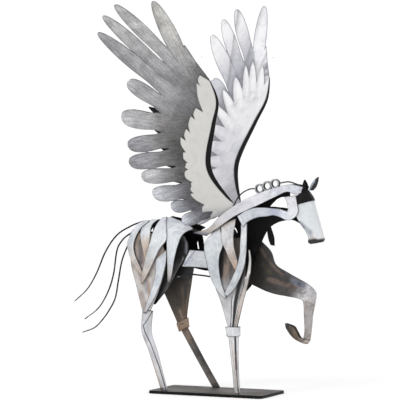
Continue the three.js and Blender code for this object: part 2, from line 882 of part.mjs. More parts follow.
// Left hind leg: folded thigh, band at the hock, flat bar below
addPiece('thigh_inner_wall_left', channel(THIGH_INNER_LEFT, { square: 0.7, steps: 8 }), 'raw');
const hockBandShape = { square: 0.7, grow: 2 * SHEET, steps: 2 };
addPiece('hock_band_left', channel(HOCK_BAND_LEFT, hockBandShape), 'rust');
const barShape = { thickness: BAR, across: 1, steps: 4 };
addPiece('shank_left_hind', ruledStrip(SHANK_LEFT_REAR, SHANK_LEFT_FRONT, barShape), 'raw');

// Shoulders
for (const [sideName, side] of Object.entries(SIDE)) {
  for (const [name, { layer, rows }] of Object.entries(SHOULDER_STRIPS)) {
    addPiece(`${name}_${sideName}`, skinStrip(rows, layer, side), 'patina');
  }
}

// Standing right foreleg
addPiece('forearm_sheet_right', skinStrip(FOREARM_SHEET, 0, SIDE.right, { steps: 8, across: 3 }), 'raw');
addPiece('forearm_edge_strip_right', skinStrip(FOREARM_EDGE_STRIP, 0, SIDE.right), 'patina');
addPiece('knee_band_right', channel(KNEE_BAND, { square: 0.7, grow: SHEET, steps: 2 }), 'patina');
addPiece('cannon_right', channel(CANNON, { square: 0.7, steps: 4 }), 'patina');

// Raised left foreleg, one folded sheet from the breast over the knee to the fetlock
addPiece('foreleg_left', channel(FORELEG_LEFT, { square: 0.8, steps: 12 }), 'raw');
addPiece('hoof_left', channel(HOOF_LEFT, { steps: 6 }), 'raw');
addPiece('chest_strip_left', ruledStrip(CHEST_STRIP_REAR, CHEST_STRIP_FRONT, { steps: 4 }), 'black');

// Trunk
for (const [sideName, side] of Object.entries(SIDE)) {
  addPiece(`belly_band_${sideName}`, skinStrip(BELLY_BANDS[sideName], 0, side, { steps: 3 }), 'brushed');
}
{
  const slit = new THREE.BoxGeometry(FLANK_SLIT.width, FLANK_SLIT.depth, FLANK_SLIT.height);
  slit.rotateY(FLANK_SLIT.tilt);
  slit.translate(FLANK_SLIT.x, FLANK_SLIT.y, FLANK_SLIT.z);
  const flank = skinStrip(FLANK_SHEET, 0, SIDE.left, { steps: 4 });
  addPiece('flank_sheet_left', geometryOf(solidOf(flank).subtract(solidOf(slit))), 'black');
}
// Spine: a bar under the strips from the croup to the wing roots
addPiece('back_bar', levelStrip(BACK_BAR, { across: 1 }), 'black');
addPiece('belly_wire', wire(BELLY_WIRE, 6), 'wire');
TAIL_WIRES.forEach((points, i) => addPiece(`tail_wire_${i + 1}`, wire(points, 12), 'wire'));

// Wings
const WINGS = {
  long_feathers: [featheredPlate(LONG_FEATHERS, FEATHER_STATIONS, 0, LONG_FEATHERS_ENDS), 'brushed'],
  outer_covert: [scallopedPlate(COVERT_LOBES, 1, COVERT_LOW), 'cream'],
  inner_covert: [featheredPlate(COVERT_FINGERS, FINGER_STATIONS, -1, COVERT_FINGERS_ENDS), 'pearl'],
  wing_edge: [edgeStrip(0), 'black'],
};
for (const [name, [geometry, material]] of Object.entries(WINGS)) {
  addPiece(`${name}_right`, geometry, material);
  addPiece(`${name}_left`, mirrored(geometry), material);
}

// Neck
for (const [sideName, side] of Object.entries(SIDE)) {
  const mane = ruledStrip(MANE_STRIP_TOP, MANE_STRIP_LOW, { side, steps: 10 });
  const cheek = ruledStrip(CHEEK_STRIP_TOP, CHEEK_STRIP_LOW, { side, steps: 12 });
  addPiece(`mane_strip_${sideName}`, mane, 'patina');
  addPiece(`cheek_strip_${sideName}`, cheek, 'patina');
}
addPiece('throat_strip', ruledStrip(THROAT_STRIP_REAR, THROAT_STRIP_FRONT), 'black');
addPiece('crest_strip', levelStrip(CREST), 'black');
const neckPlateTop = NECK_PLATE.map(([x]) => [x, 0, smoothRow(CREST, x)[2] - NECK_PLATE_GAP]);
const neckPlateLow = NECK_PLATE.map(([x, z]) => [x, 0, z]);
addPiece('neck_plate', ruledStrip(neckPlateTop, neckPlateLow, { steps: 6, across: 1 }), 'black');

// Curled mane: each ring stands on the crest and overlaps the ring behind it
{
  const inner = CURL_RADIUS - CURL_WALL;
  const section = [
    [inner, -CURL_WIDTH / 2],
    [CURL_RADIUS, -CURL_WIDTH / 2],
    [CURL_RADIUS, CURL_WIDTH / 2],
    [inner, CURL_WIDTH / 2],
    [inner, -CURL_WIDTH / 2],
  ];
  const ring = new THREE.LatheGeometry(section.map(([x, y]) => new THREE.Vector2(x, y)), 12);
  const lift = CURL_RADIUS + SHEET / 2 + FIT;
  const rings = [];
  const centres = [];
  let x = FIRST_CURL_X;
  for (let i = 0; i < CURL_COUNT; i += 1) {
    const [, , z] = smoothRow(CREST, x);
    const slope = (smoothRow(CREST, x + 1)[2] - smoothRow(CREST, x - 1)[2]) / 2;
    const length = Math.hypot(1, slope);
    centres.push([x - (slope * lift) / length, z + lift / length]);
    rings.push(ring.clone().translate(centres[i][0], 0, centres[i][1]));
    x += (2 * CURL_RADIUS - CURL_OVERLAP) / length;
  }
  const [firstX, firstZ] = centres[0];
  const [lastX, lastZ] = centres[CURL_COUNT - 1];
  const wallMiddle = CURL_RADIUS - CURL_WALL / 2;
  const rear = wire([...CURL_WIRE_REAR, [firstX - wallMiddle, 0, firstZ]], 8);
  const front = wire([[lastX + wallMiddle, 0, lastZ + 1], ...CURL_WIRE_FRONT], 6);
  addPiece('curled_mane', geometryOf(joined([...rings, rear, front])), 'wire');
}

// Head
addPiece('face_shell', channel(HEAD, HEAD_SHAPE), 'patina');
addPiece('forehead_cap', channel(HEAD, { ...HEAD_SHAPE, keep: CAP_STEPS, grow: SHEET + LAP }), 'black');
addPiece('jaw_plate', levelStrip(JAW, { steps: 3 }), 'black');

function ear({ base: [x, z], tip: [tipX, tipZ] }, side) {
  const length = Math.hypot(tipX - x, tipZ - z);
  const across = [(tipZ - z) / length, -(tipX - x) / length];
  const point = (t, share, k) => {
    const out = k * share * EAR_WIDTH / 2;
    const slant = EAR_BASE_SLOPE * across[0] * out * (1 - t) ** 4;
    return new THREE.Vector3(
      x + (tipX - x) * t + across[0] * out,
      side * (EAR_Y - (k === 0 ? EAR_CUP * share : 0)),
      z + (tipZ - z) * t + across[1] * out + slant,
    );
  };
  return sheet(sampleRows(EAR_SHAPE, 5).map(([t, share]) => [-1, 0, 1].map((k) => point(t, share, k))));
}
for (const [sideName, side] of Object.entries(SIDE)) {
  addPiece(`ear_${sideName}`, ear(EARS[sideName], side), 'black');
}

export default model;
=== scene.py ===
"""Looks of the winged horse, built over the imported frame. Tables in mm, objects in metres."""

import math

import bpy
import numpy as np
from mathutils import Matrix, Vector


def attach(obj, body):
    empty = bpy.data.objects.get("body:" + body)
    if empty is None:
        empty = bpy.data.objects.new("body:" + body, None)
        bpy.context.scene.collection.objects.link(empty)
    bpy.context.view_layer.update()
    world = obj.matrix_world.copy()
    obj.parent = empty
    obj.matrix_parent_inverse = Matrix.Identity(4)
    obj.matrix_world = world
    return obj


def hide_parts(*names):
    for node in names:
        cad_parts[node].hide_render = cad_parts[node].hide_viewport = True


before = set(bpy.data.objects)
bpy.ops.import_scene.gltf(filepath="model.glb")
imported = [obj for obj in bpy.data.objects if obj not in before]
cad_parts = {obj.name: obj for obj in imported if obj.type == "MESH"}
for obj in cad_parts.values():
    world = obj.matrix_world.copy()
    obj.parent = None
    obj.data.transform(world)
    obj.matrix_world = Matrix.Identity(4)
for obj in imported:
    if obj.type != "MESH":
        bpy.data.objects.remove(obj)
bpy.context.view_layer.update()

# ---- Stock and shapes, as in the construction

SHEET = 1.2
BAR = 4.0
WIRE_LOOK = 3.3
FIT = 0.3
LAP = 0.7
LAYER = SHEET + LAP
MM = 0.001
PAINT_GAIN = 0.82
PLAIN_STOPS = [(0, (222, 226, 230))]
SHARP_ANGLE = 38
RIM_BULGE = 0.6
CAP_BULGE = 0.35
NEAR_EDGE = 0.02
PROBE = 2.0
FINE_PROBE = 0.5

PLATE_LENGTH = 248
PLATE_WIDTH = 120
PLATE_THICKNESS = 6
PLATE_CORNER = 8
PLATE_CHAMFER = 0.7
CORNER_STEPS = 8
FAR_FROM_EDGE = 10.0
FLOOR = PLATE_THICKNESS + FIT

# Trunk rows: x, top z, belly z, half width
TRUNK = [
    (-200, 290, 234, 9), (-185, 312, 222, 18), (-165, 338, 215, 29), (-130, 347, 212, 39),
    (-90, 348, 222, 42), (-40, 335, 238, 42), (10, 336, 246, 40), (50, 356, 240, 38),
    (85, 364, 236, 31), (112, 352, 250, 17),
]
ROUNDNESS = 2.5
BACK_HALF_WIDTH = 4
HOCK_LEVEL = 120
HIND_LEG_Y = 38
FORE_LEG_Y = 32

# Wing sheet rows: z, x, distance from the middle plane of its front edge
WING_EDGE = [
    (378, 48, 14), (435, 22, 55), (470, 20, 72), (543, 44, 101), (591, 59, 122), (652, 45, 163),
    (713, 26, 207), (780, -12, 265),
]
WING_SWEEP = 0.33
WING_ROOT = 384
WRIST_LEVEL = 632
EDGE_STRIP_WIDTH = 9.5

SIDES = {"right": -1, "left": 1}


def smooth(rows, keys):
    """Rows [key, value, ...] read at keys, smooth through every row."""
    rows = np.asarray(rows, float)
    keys = np.atleast_1d(np.asarray(keys, float))
    last = len(rows) - 1
    i = np.clip(np.searchsorted(rows[:, 0], keys) - 1, 0, last - 1)
    before = rows[np.maximum(i - 1, 0)]
    low = rows[i]
    high = rows[i + 1]
    after = rows[np.minimum(i + 2, last)]
    slope_low = (high - before) / (high[:, :1] - before[:, :1])
    slope_high = (after - low) / (after[:, :1] - low[:, :1])
    gap = high[:, :1] - low[:, :1]
    t = (keys[:, None] - low[:, :1]) / gap
    start = low * (1 + 2 * t) * (1 - t) ** 2 + slope_low * gap * t * (1 - t) ** 2
    end = high * t * t * (3 - 2 * t) - slope_high * gap * t * t * (1 - t)
    under = low + slope_low * t * gap
    over = high + slope_high * (t - 1) * gap
    return np.where(t < 0, under, np.where(t > 1, over, start + end))


def sample(rows, steps):
    """Rows of plain numbers, spread evenly along a smooth curve through them."""
    rows = np.asarray(rows, float)
    keyed = np.column_stack([np.arange(len(rows)), rows])
    return smooth(keyed, np.linspace(0, len(rows) - 1, steps + 1))[:, 1:]


def ease(values, low, high):
    t = np.clip((np.asarray(values, float) - low) / (high - low), 0, 1)
    return t * t * (3 - 2 * t)


def unit(vectors):
    length = np.linalg.norm(vectors, axis=-1, keepdims=True)
    return vectors / np.maximum(length, 1e-9)


def trunk_y(x, z):
    rows = smooth(TRUNK, np.ravel(x)).reshape(np.shape(x) + (4,))
    top = rows[..., 1]
    low = rows[..., 2]
    half = rows[..., 3]
    middle = (top + low) / 2
    height = np.clip((z - middle) / (top - middle), 0, 1)
    upper = np.maximum(half * (1 - height ** ROUNDNESS) ** (1 / ROUNDNESS), BACK_HALF_WIDTH)
    leg = np.where(x < 0, HIND_LEG_Y, FORE_LEG_Y)
    lower = half + (leg - half) * ease(middle - z, 0, middle - HOCK_LEVEL)
    return np.where(z > middle, upper, lower)


def lifted(place, x, z, out, side):
    """Points of the surface place(x, z) of one side, lifted outwards along its normal."""
    along = place(x, z + PROBE) - place(x, z - PROBE)
    across = place(x + PROBE, z) - place(x - PROBE, z)
    normal = unit(np.cross(along, across))
    normal *= np.sign(normal[..., 1:2])
    points = place(x, z) + normal * np.expand_dims(out, -1)
    points[..., 1] *= side
    return points


def on_trunk(x, z, out, side):
    return lifted(lambda px, pz: np.stack([px, trunk_y(px, pz), pz], -1), x, z, out, side)


def on_wing(x, z, out, side):
    def place(px, pz):
        edge = smooth(WING_EDGE, np.ravel(pz)).reshape(np.shape(pz) + (3,))
        return np.stack([px, edge[..., 2] + WING_SWEEP * (edge[..., 1] - px), pz], -1)

    return lifted(place, x, z, out, side)


# ---- Meshes


def add_piece(node, vertices, faces, slots, materials, attributes):
    """The piece look_NODE, which stands for that node of the frame."""
    mesh = bpy.data.meshes.new("look_" + node)
    mesh.from_pydata([tuple(v) for v in np.asarray(vertices) * MM], [], [tuple(f) for f in faces])
    for key, values in attributes.items():
        layer = mesh.attributes.new(key, "FLOAT_VECTOR", "POINT")
        layer.data.foreach_set("vector", np.asarray(values, np.float32).ravel())
    for item in materials:
        mesh.materials.append(item)
    mesh.polygons.foreach_set("material_index", np.asarray(slots, np.int32))
    mesh.shade_smooth()
    mesh.set_sharp_from_angle(angle=math.radians(SHARP_ANGLE))
    mesh.validate()
    mesh.update()
    obj = bpy.data.objects.new("look_" + node, mesh)
    bpy.context.scene.collection.objects.link(obj)
    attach(obj, "root")
    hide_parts(node)


def thicken(points, normals, faces, attributes, thickness=SHEET):
    """A surface thickened to both sides, its rim rounded: vertices, faces, materials, attributes."""
    count = len(points)
    directed = {edge for face in faces for edge in zip(face, face[1:] + face[:1])}
    rim = sorted(edge for edge in directed if edge[::-1] not in directed)
    outward = {}
    for a, b in rim:
        right = np.cross(points[b] - points[a], normals[a])
        for v in (a, b):
            outward[v] = outward.get(v, 0) + right
    rim_ids = sorted(outward)
    middle = {v: 2 * count + k for k, v in enumerate(rim_ids)}
    half = thickness / 2
    ring = np.array([points[v] + unit(outward[v]) * half * RIM_BULGE for v in rim_ids]).reshape(-1, 3)
    vertices = np.concatenate([points + normals * half, points - normals * half, ring])
    all_faces = [tuple(face) for face in faces]
    all_faces += [tuple(v + count for v in reversed(face)) for face in faces]
    slots = [0] * len(faces) + [1] * len(faces)
    for a, b in rim:
        all_faces += [(b, a, middle[a], middle[b]), (middle[b], middle[a], a + count, b + count)]
        slots += [0, 1]
    spread = {k: np.concatenate([v, v, v[rim_ids]]) for k, v in attributes.items()}
    return vertices, all_faces, slots, spread


def tint(red, green, blue):
    """A display colour of 0 to 255 as a linear one, darker to suit the studio's light."""
    share = np.array([red, green, blue]) / 255
    return PAINT_GAIN * np.where(share <= 0.04045, share / 12.92, ((share + 0.055) / 1.055) ** 2.4)


def distance_to(points, path):
    """Distance of each point to a path of points."""
    path = np.asarray(path, float)
    if len(path) == 1:
        return np.linalg.norm(points - path[0], axis=1)
    best = np.full(len(points), 1e9)
    for a, b in zip(path[:-1], path[1:]):
        edge = b - a
        t = np.clip((points - a) @ edge / max(edge @ edge, 1e-9), 0, 1)
        gap = points - a - t[:, None] * edge
        best = np.minimum(best, np.einsum("ij,ij->i", gap, gap))
    return np.sqrt(best)


def on_grid(grid, across, along):
    """The point of a grid at per cent across and along."""
    rows, columns = grid.shape[:2]
    r = along / 100 * (rows - 1)
    c = across / 100 * (columns - 1)
    r0 = min(int(r), rows - 2)
    c0 = min(int(c), columns - 2)
    low = grid[r0, c0] * (1 - c + c0) + grid[r0, c0 + 1] * (c - c0)
    high = grid[r0 + 1, c0] * (1 - c + c0) + grid[r0 + 1, c0 + 1] * (c - c0)
    return low * (1 - r + r0) + high * (r - r0)


def painted_tone(grid, stops, strokes):
    """Colours of the points of a grid: stops along it, then soft strokes.

    Stops: per cent along, colour. Strokes: points in per cent (across, along), half width in mm, colour,
    strength in per cent."""
    rows, columns = grid.shape[:2]
    colours = np.array([tint(*colour) for _, colour in stops])
    along = np.repeat(np.linspace(0, 1, rows), columns)
    keys = [key / 100 for key, _ in stops]
    tone = np.stack([np.interp(along, keys, colours[:, k]) for k in range(3)], -1)
    points = grid.reshape(-1, 3)
    for path, half, colour, strength in strokes:
        away = distance_to(points, [on_grid(grid, *point) for point in path])
        weight = (strength / 100 * (1 - ease(away, half * 0.5, half * 1.4)))[:, None]
        tone = tone * (1 - weight) + tint(*colour) * weight
    return tone


def ribbon(node, grid, facing, finish, stops=PLAIN_STOPS, strokes=(), thickness=SHEET):
    """A bent strip from a grid of points on its middle surface. Finish: outer and inner material, slot."""
    grid = np.asarray(grid, float)
    rows, columns = grid.shape[:2]
    normals = unit(np.cross(np.gradient(grid, axis=0), np.gradient(grid, axis=1)))
    ids = np.arange(rows * columns).reshape(rows, columns)
    quads = np.stack([ids[:-1, :-1], ids[1:, :-1], ids[1:, 1:], ids[:-1, 1:]], -1).reshape(-1, 4)
    if np.dot(normals[rows // 2, columns // 2], facing) < 0:
        normals = -normals
        quads = quads[:, ::-1]
    length = np.cumsum(np.linalg.norm(np.diff(grid, axis=0, prepend=grid[:1]), axis=-1), axis=0)
    width = np.cumsum(np.linalg.norm(np.diff(grid, axis=1, prepend=grid[:, :1]), axis=-1), axis=1)
    from_side = np.minimum(width, width[:, -1:] - width)
    from_edge = np.minimum(from_side, np.minimum(length, length[-1:] - length))
    attributes = {
        "place": np.stack([width - width[:, -1:] / 2, length, from_edge], -1).reshape(-1, 3),
        "tone": painted_tone(grid, stops, strokes),
    }
    outer, inner, slot_name = finish
    vertices, faces, slots, attributes = thicken(
        grid.reshape(-1, 3), normals.reshape(-1, 3), quads.tolist(), attributes, thickness
    )
    add_piece(node, vertices, faces, slots, [outer, inner], attributes)


def skin_grid(rows, layer, side, steps=44, across=8, crown=0.4):
    s = sample([tuple(row) + (0,) * (5 - len(row)) for row in rows], steps)
    t = np.linspace(0, 1, across + 1)[None, :]
    x = s[:, 0:1] + (s[:, 2:3] - s[:, 0:1]) * t
    z = s[:, 1:2] + (s[:, 3:4] - s[:, 1:2]) * t
    out = layer * LAYER - s[:, 4:5] + crown * 4 * t * (1 - t)
    return on_trunk(x, z, out, side)


def ruled_grid(edge_a, edge_b, steps=44, across=8, crown=0.0, side=1):
    a = sample(edge_a, steps)[:, None, :]
    b = sample(edge_b, steps)[:, None, :]
    t = np.linspace(0, 1, across + 1)[None, :, None]
    grid = a + (b - a) * t
    grid[..., 1] = side * (grid[..., 1] + crown * 4 * t[..., 0] * (1 - t[..., 0]))
    return grid


def mirrored_grid(edge, steps=44):
    return ruled_grid([(x, -y, z) for x, y, z in edge], edge, steps)


def channel_grid(rows, steps=44, across=20, square=1.0, grow=0.0, keep=1.0):
    s = sample(rows, steps)[: int(round(steps * keep)) + 1]
    front = s[:, 0:2]
    rear = s[:, 2:4]
    stretch = 1 + grow / np.linalg.norm(front - rear, axis=1, keepdims=True)
    angle = np.linspace(-math.pi / 2, math.pi / 2, across + 1)[None, :]
    depth = np.maximum(np.cos(angle), 0) ** square * stretch
    lateral = np.sign(angle) * np.abs(np.sin(angle)) ** square * (s[:, 5:6] + grow)
    x = rear[:, 0:1] + (front[:, 0:1] - rear[:, 0:1]) * depth
    z = rear[:, 1:2] + (front[:, 1:2] - rear[:, 1:2]) * depth
    return np.stack([x, s[:, 4:5] + lateral, z], -1)


def skin_piece(node, rows, layer, side, finish, stops, strokes=(), **options):
    ribbon(node, skin_grid(rows, layer, side, **options), (0, side, 0), finish, stops, strokes)


def channel_piece(node, rows, finish, stops=PLAIN_STOPS, strokes=(), **options):
    ribbon(node, channel_grid(rows, **options), (1, 0, 0), finish, stops, strokes)


def between_rings(count, size, closed=False):
    """Quads that join each ring of points to the next."""
    faces = []
    for i in range(count if closed else count - 1):
        j = (i + 1) % count
        for k in range(size):
            n = (k + 1) % size
            faces.append((i * size + k, i * size + n, j * size + n, j * size + k))
    return faces


def tube(points, radius, steps=90, sides=12, taper=None):
    """Vertices, faces and places of a round wire along points."""
    points = np.asarray(points, float)
    keys = np.concatenate([[0], np.cumsum(np.linalg.norm(np.diff(points, axis=0), axis=1))])
    path = smooth(np.column_stack([keys, points]), np.linspace(0, keys[-1], steps + 1))[:, 1:]
    tangents = unit(np.gradient(path, axis=0))
    normal = unit(np.cross(tangents[0], [0.0, 1.0, 0.3]))
    vertices = []
    places = []
    for i, share in enumerate(np.linspace(0, 1, steps + 1)):
        normal = unit(normal - tangents[i] * np.dot(normal, tangents[i]))
        other = np.cross(tangents[i], normal)
        size = radius * (taper(share) if taper else 1)
        for k in range(sides):
            angle = 2 * math.pi * k / sides
            vertices.append(path[i] + (normal * math.cos(angle) + other * math.sin(angle)) * size)
            places.append((k / sides, share * keys[-1], 1))
    faces = between_rings(steps + 1, sides)
    for i, end in ((0, -1), (steps, 1)):
        centre = len(vertices)
        vertices.append(path[i] + tangents[i] * end * radius * CAP_BULGE)
        places.append((0, keys[-1] * i / steps, 1))
        for k in range(sides):
            triangle = (i * sides + (k + 1) % sides, i * sides + k, centre)
            faces.append(triangle[::-end])
    return vertices, faces, places


def wire_piece(node, points, steps=90, taper=None):
    vertices, faces, places = tube(points, WIRE_LOOK / 2, steps, taper=taper)
    add_piece(node, vertices, faces, [0] * len(faces), [WIRE_DARK], {"place": places})


def plate_piece(node, field, extent, cell, put, details, materials):
    """A flat outline, where field(x, z) is above zero, laid on a curved surface by put(x, z, out)."""
    xs = np.arange(extent[0], extent[1] + cell, cell)
    zs = np.arange(extent[2], extent[3] + cell, cell)
    value = field(*np.meshgrid(xs, zs, indexing="ij"))
    value = np.where(np.abs(value) < NEAR_EDGE, NEAR_EDGE, value)
    inside = value > 0
    ids = {}
    flat = []

    def point(here, there):
        """The number of a corner of the grid, or of the crossing between two corners."""
        key = (min(here, there), max(here, there))
        if key not in ids:
            (i, j), (m, n) = key
            low = value[i, j]
            t = 0 if here == there else np.clip(low / (low - value[m, n]), NEAR_EDGE, 1 - NEAR_EDGE)
            ids[key] = len(flat)
            flat.append((xs[i] + (xs[m] - xs[i]) * t, zs[j] + (zs[n] - zs[j]) * t))
        return ids[key]

    faces = []
    touched = inside[:-1, :-1] | inside[1:, :-1] | inside[1:, 1:] | inside[:-1, 1:]
    for i, j in zip(*np.nonzero(touched)):
        corners = [(i, j), (i + 1, j), (i + 1, j + 1), (i, j + 1)]
        face = []
        for here, there in zip(corners, corners[1:] + corners[:1]):
            if inside[here]:
                face.append(point(here, here))
            if inside[here] != inside[there]:
                face.append(point(here, there))
        faces.append(face)
    x, z = np.array(flat).T

    def laid(dx, dz):
        return put(x + dx, z + dz, details(x + dx, z + dz)[0])

    out, attributes = details(x, z)
    points = put(x, z, out)
    step = FINE_PROBE
    normals = unit(np.cross(laid(step, 0) - laid(-step, 0), laid(0, step) - laid(0, -step)))
    if np.dot(normals.mean(0), put(x[:1], z[:1], out[:1] + 5)[0] - points[0]) < 0:
        normals = -normals
        faces = [face[::-1] for face in faces]
    vertices, faces, slots, attributes = thicken(points, normals, faces, attributes)
    add_piece(node, vertices, faces, slots, materials, attributes)


def outline_field(outline):
    """Signed distance to a closed outline of (x, z) points, above zero inside."""
    closed = np.array(list(outline) + [outline[0]], float)

    def field(x, z):
        points = np.stack([np.ravel(x), np.ravel(z)], -1)
        inside = np.zeros(len(points), bool)
        for start, end in zip(closed[:-1], closed[1:]):
            edge = end - start
            straddles = (start[1] > points[:, 1]) != (end[1] > points[:, 1])
            cross = start[0] + (points[:, 1] - start[1]) * edge[0] / (edge[1] or 1e-9)
            inside ^= straddles & (points[:, 0] < cross)
        distance = distance_to(points, closed)
        return np.where(inside, distance, -distance).reshape(np.shape(x))

    return field


def flat_place(x, z, distance):
    return {"place": np.stack([x, z, np.maximum(distance, 0)], -1)}


# ---- Materials


class Paint:
    """A node material with a few shorthands."""

    def __init__(self, name, roughness, metallic=0.0):
        self.material = bpy.data.materials.new(name)
        self.material.use_nodes = True
        self.nodes = self.material.node_tree.nodes
        self.shader = self.nodes["Principled BSDF"]
        self.shader.inputs["Roughness"].default_value = roughness
        self.shader.inputs["Metallic"].default_value = metallic
        self.coords = self.nodes.new("ShaderNodeTexCoord").outputs["Object"]

    def put(self, target, value):
        if isinstance(value, tuple):
            opaque = (1.0,) if len(value) == 3 and len(target.default_value) == 4 else ()
            target.default_value = value + opaque
        elif isinstance(value, (int, float)):
            target.default_value = value
        else:
            self.material.node_tree.links.new(value, target)

    def node(self, kind, **inputs):
        node = self.nodes.new("ShaderNode" + kind)
        for key, value in inputs.items():
            self.put(node.inputs[key.replace("_", " ")], value)
        return node

    def attribute(self, name):
        node = self.node("Attribute")
        node.attribute_name = name
        return node.outputs["Vector"]

    def part(self, vector, axis):
        return self.node("SeparateXYZ", Vector=vector).outputs[axis]

    def noise(self, vector, scale, detail=4.0, rough=0.55, distortion=0.0):
        node = self.node("TexNoise", Vector=vector, Scale=scale, Detail=detail, Roughness=rough)
        node.inputs["Distortion"].default_value = distortion
        return node.outputs["Fac"]

    def lines(self, vector, scale, detail, rough):
        """Noise stretched by a scale for each axis."""
        mapping = self.node("Mapping", Vector=vector, Scale=scale)
        return self.noise(mapping.outputs["Vector"], 1.0, detail, rough)

    def ramp(self, value, low, high, out_low=0.0, out_high=1.0):
        node = self.node(
            "MapRange", Value=value, From_Min=low, From_Max=high, To_Min=out_low, To_Max=out_high
        )
        node.interpolation_type = "SMOOTHSTEP"
        return node.outputs["Result"]

    def math(self, operation, a, b):
        node = self.node("Math")
        node.operation = operation
        self.put(node.inputs[0], a)
        self.put(node.inputs[1], b)
        return node.outputs[0]

    def mix(self, factor, a, b, blend="MIX"):
        node = self.node("Mix")
        node.data_type = "RGBA"
        node.blend_type = blend
        self.put(node.inputs["Factor"], factor)
        self.put(node.inputs[6], a)
        self.put(node.inputs[7], b)
        return node.outputs[2]

    def worn(self, colour, layers):
        """A colour multiplied by each layer's factor where its value is high."""
        for value, low, high, strength, factor in layers:
            weight = self.ramp(value, low, high, 0.0, strength)
            colour = self.mix(weight, colour, self.mix(1.0, colour, factor, "MULTIPLY"))
        return colour

    def bump(self, height, strength, distance):
        node = self.node("Bump", Strength=strength, Distance=distance, Height=height)
        self.put(self.shader.inputs["Normal"], node.outputs["Normal"])

    def done(self, colour, roughness=None):
        self.put(self.shader.inputs["Base Color"], colour)
        if roughness is not None:
            self.put(self.shader.inputs["Roughness"], roughness)
        return self.material


def coat(name, roughness=0.48, metallic=0.0, cloudy=0.5, streaky=0.5, dull=(0.66, 0.68, 0.72), edge=0.8,
         scale=30.0, rub_and_sheen=1.12):
    """A rubbed coat over steel: the tone of the mesh under clouds, lighter patches of rubbing and painted
    sheen, streaks, scratches and dark edges.
    """
    paint = Paint(name, roughness, metallic)
    place = paint.attribute("place")
    cloud = paint.noise(paint.coords, scale, 5.0, 0.6, 0.6)
    patch = paint.noise(paint.coords, scale * 3.1, 4.0, 0.6, 1.2)
    fine = paint.noise(paint.coords, 230.0, 5.0, 0.65)
    streak = paint.lines(place, (0.75, 0.04, 0.0), 4.0, 0.65)
    scratch = paint.lines(place, (2.4, 0.09, 0.0), 2.0, 0.5)
    colour = paint.worn(paint.attribute("tone"), [
        (cloud, 0.42, 0.66, cloudy, dull),
        # Lighter patches: rubbed spots and painted sheen
        (patch, 0.5, 0.7, cloudy, (rub_and_sheen, rub_and_sheen, rub_and_sheen)),
        (streak, 0.48, 0.68, streaky, (0.66, 0.64, 0.62)),
        (scratch, 0.60, 0.68, streaky, (0.58, 0.58, 0.60)),
        (fine, 0.60, 0.72, 0.45, (0.45, 0.44, 0.44)),
    ])
    ragged = paint.math("ADD", paint.part(place, 2), paint.math("MULTIPLY", fine, 0.8))
    colour = paint.mix(paint.ramp(ragged, 0.6, 1.6, edge, 0.0), colour, (0.012, 0.012, 0.013))
    paint.bump(paint.math("ADD", streak, fine), 0.12, 0.0004)
    return paint.done(colour, paint.ramp(cloud, 0.3, 0.7, roughness - 0.08, roughness + 0.12))


def black_paint(name, roughness=0.38):
    """Black coat with faint dust and scratches."""
    paint = Paint(name, roughness)
    dust = paint.noise(paint.coords, 60.0, 5.0, 0.65, 0.3)
    scratch = paint.lines(paint.coords, (40.0, 260.0, 900.0), 3.0, 0.6)
    colour = paint.mix(paint.ramp(dust, 0.5, 0.8), (0.0045, 0.0045, 0.005), (0.012, 0.012, 0.0125))
    colour = paint.mix(paint.ramp(scratch, 0.70, 0.78, 0.0, 0.25), colour, (0.05, 0.05, 0.052))
    paint.shader.inputs["Specular IOR Level"].default_value = 0.12
    paint.bump(dust, 0.08, 0.0004)
    return paint.done(colour, paint.ramp(dust, 0.3, 0.8, roughness, roughness + 0.2))


def feather_steel(name):
    """Brushed grey feathers: the tone of the mesh under brush lines, hatching, stains and darker rims."""
    paint = Paint(name, 0.42, 0.5)
    place = paint.attribute("place")
    cloud = paint.noise(paint.coords, 30.0, 5.0, 0.6, 0.6)
    brushed = paint.lines(place, (1.5, 0.05, 0.0), 4.0, 0.7)
    broad = paint.lines(place, (0.35, 0.03, 0.0), 3.0, 0.6)
    crossed = paint.lines(place, (0.10, 1.3, 0.0), 3.0, 0.65)
    speck = paint.noise(paint.coords, 420.0, 3.0, 0.7)
    clouds = paint.ramp(cloud, 0.38, 0.66)
    colour = paint.mix(clouds, paint.attribute("tone"), (0.70, 0.69, 0.69), "MULTIPLY")
    for line, low, high in (
        (brushed, 0.70, 1.34), (broad, 0.84, 1.18), (crossed, 0.86, 1.16), (speck, 0.88, 1.14)
    ):
        shade = paint.mix(paint.ramp(line, 0.33, 0.67), (low, low, low), (high, high, high))
        colour = paint.mix(1.0, colour, shade, "MULTIPLY")
    ragged = paint.math("ADD", paint.part(place, 2), paint.math("MULTIPLY", brushed, 1.6))
    colour = paint.mix(paint.ramp(ragged, 0.7, 2.8, 0.7, 0.0), colour, (0.06, 0.06, 0.065))
    paint.bump(paint.math("ADD", brushed, crossed), 0.18, 0.0004)
    return paint.done(colour, paint.ramp(brushed, 0.3, 0.7, 0.36, 0.54))


def feather_pearl(name, attribute, rim_strength):
    """White feathers: a tone of the mesh under brush lines and grey rims."""
    paint = Paint(name, 0.5)
    place = paint.attribute("place")
    cloud = paint.noise(paint.coords, 40.0, 5.0, 0.6, 0.8)
    brushed = paint.lines(place, (1.0, 0.04, 0.0), 4.0, 0.65)
    colour = paint.worn(paint.attribute(attribute), [
        (cloud, 0.46, 0.70, 0.5, (0.66, 0.66, 0.72)),
        (brushed, 0.5, 0.72, 0.6, (0.74, 0.74, 0.78)),
    ])
    rim = paint.ramp(paint.part(place, 2), 0.1, 2.0, rim_strength, 0.0)
    colour = paint.mix(rim, colour, (0.16, 0.16, 0.19))
    paint.bump(brushed, 0.12, 0.0004)
    return paint.done(colour, paint.ramp(cloud, 0.3, 0.7, 0.4, 0.6))


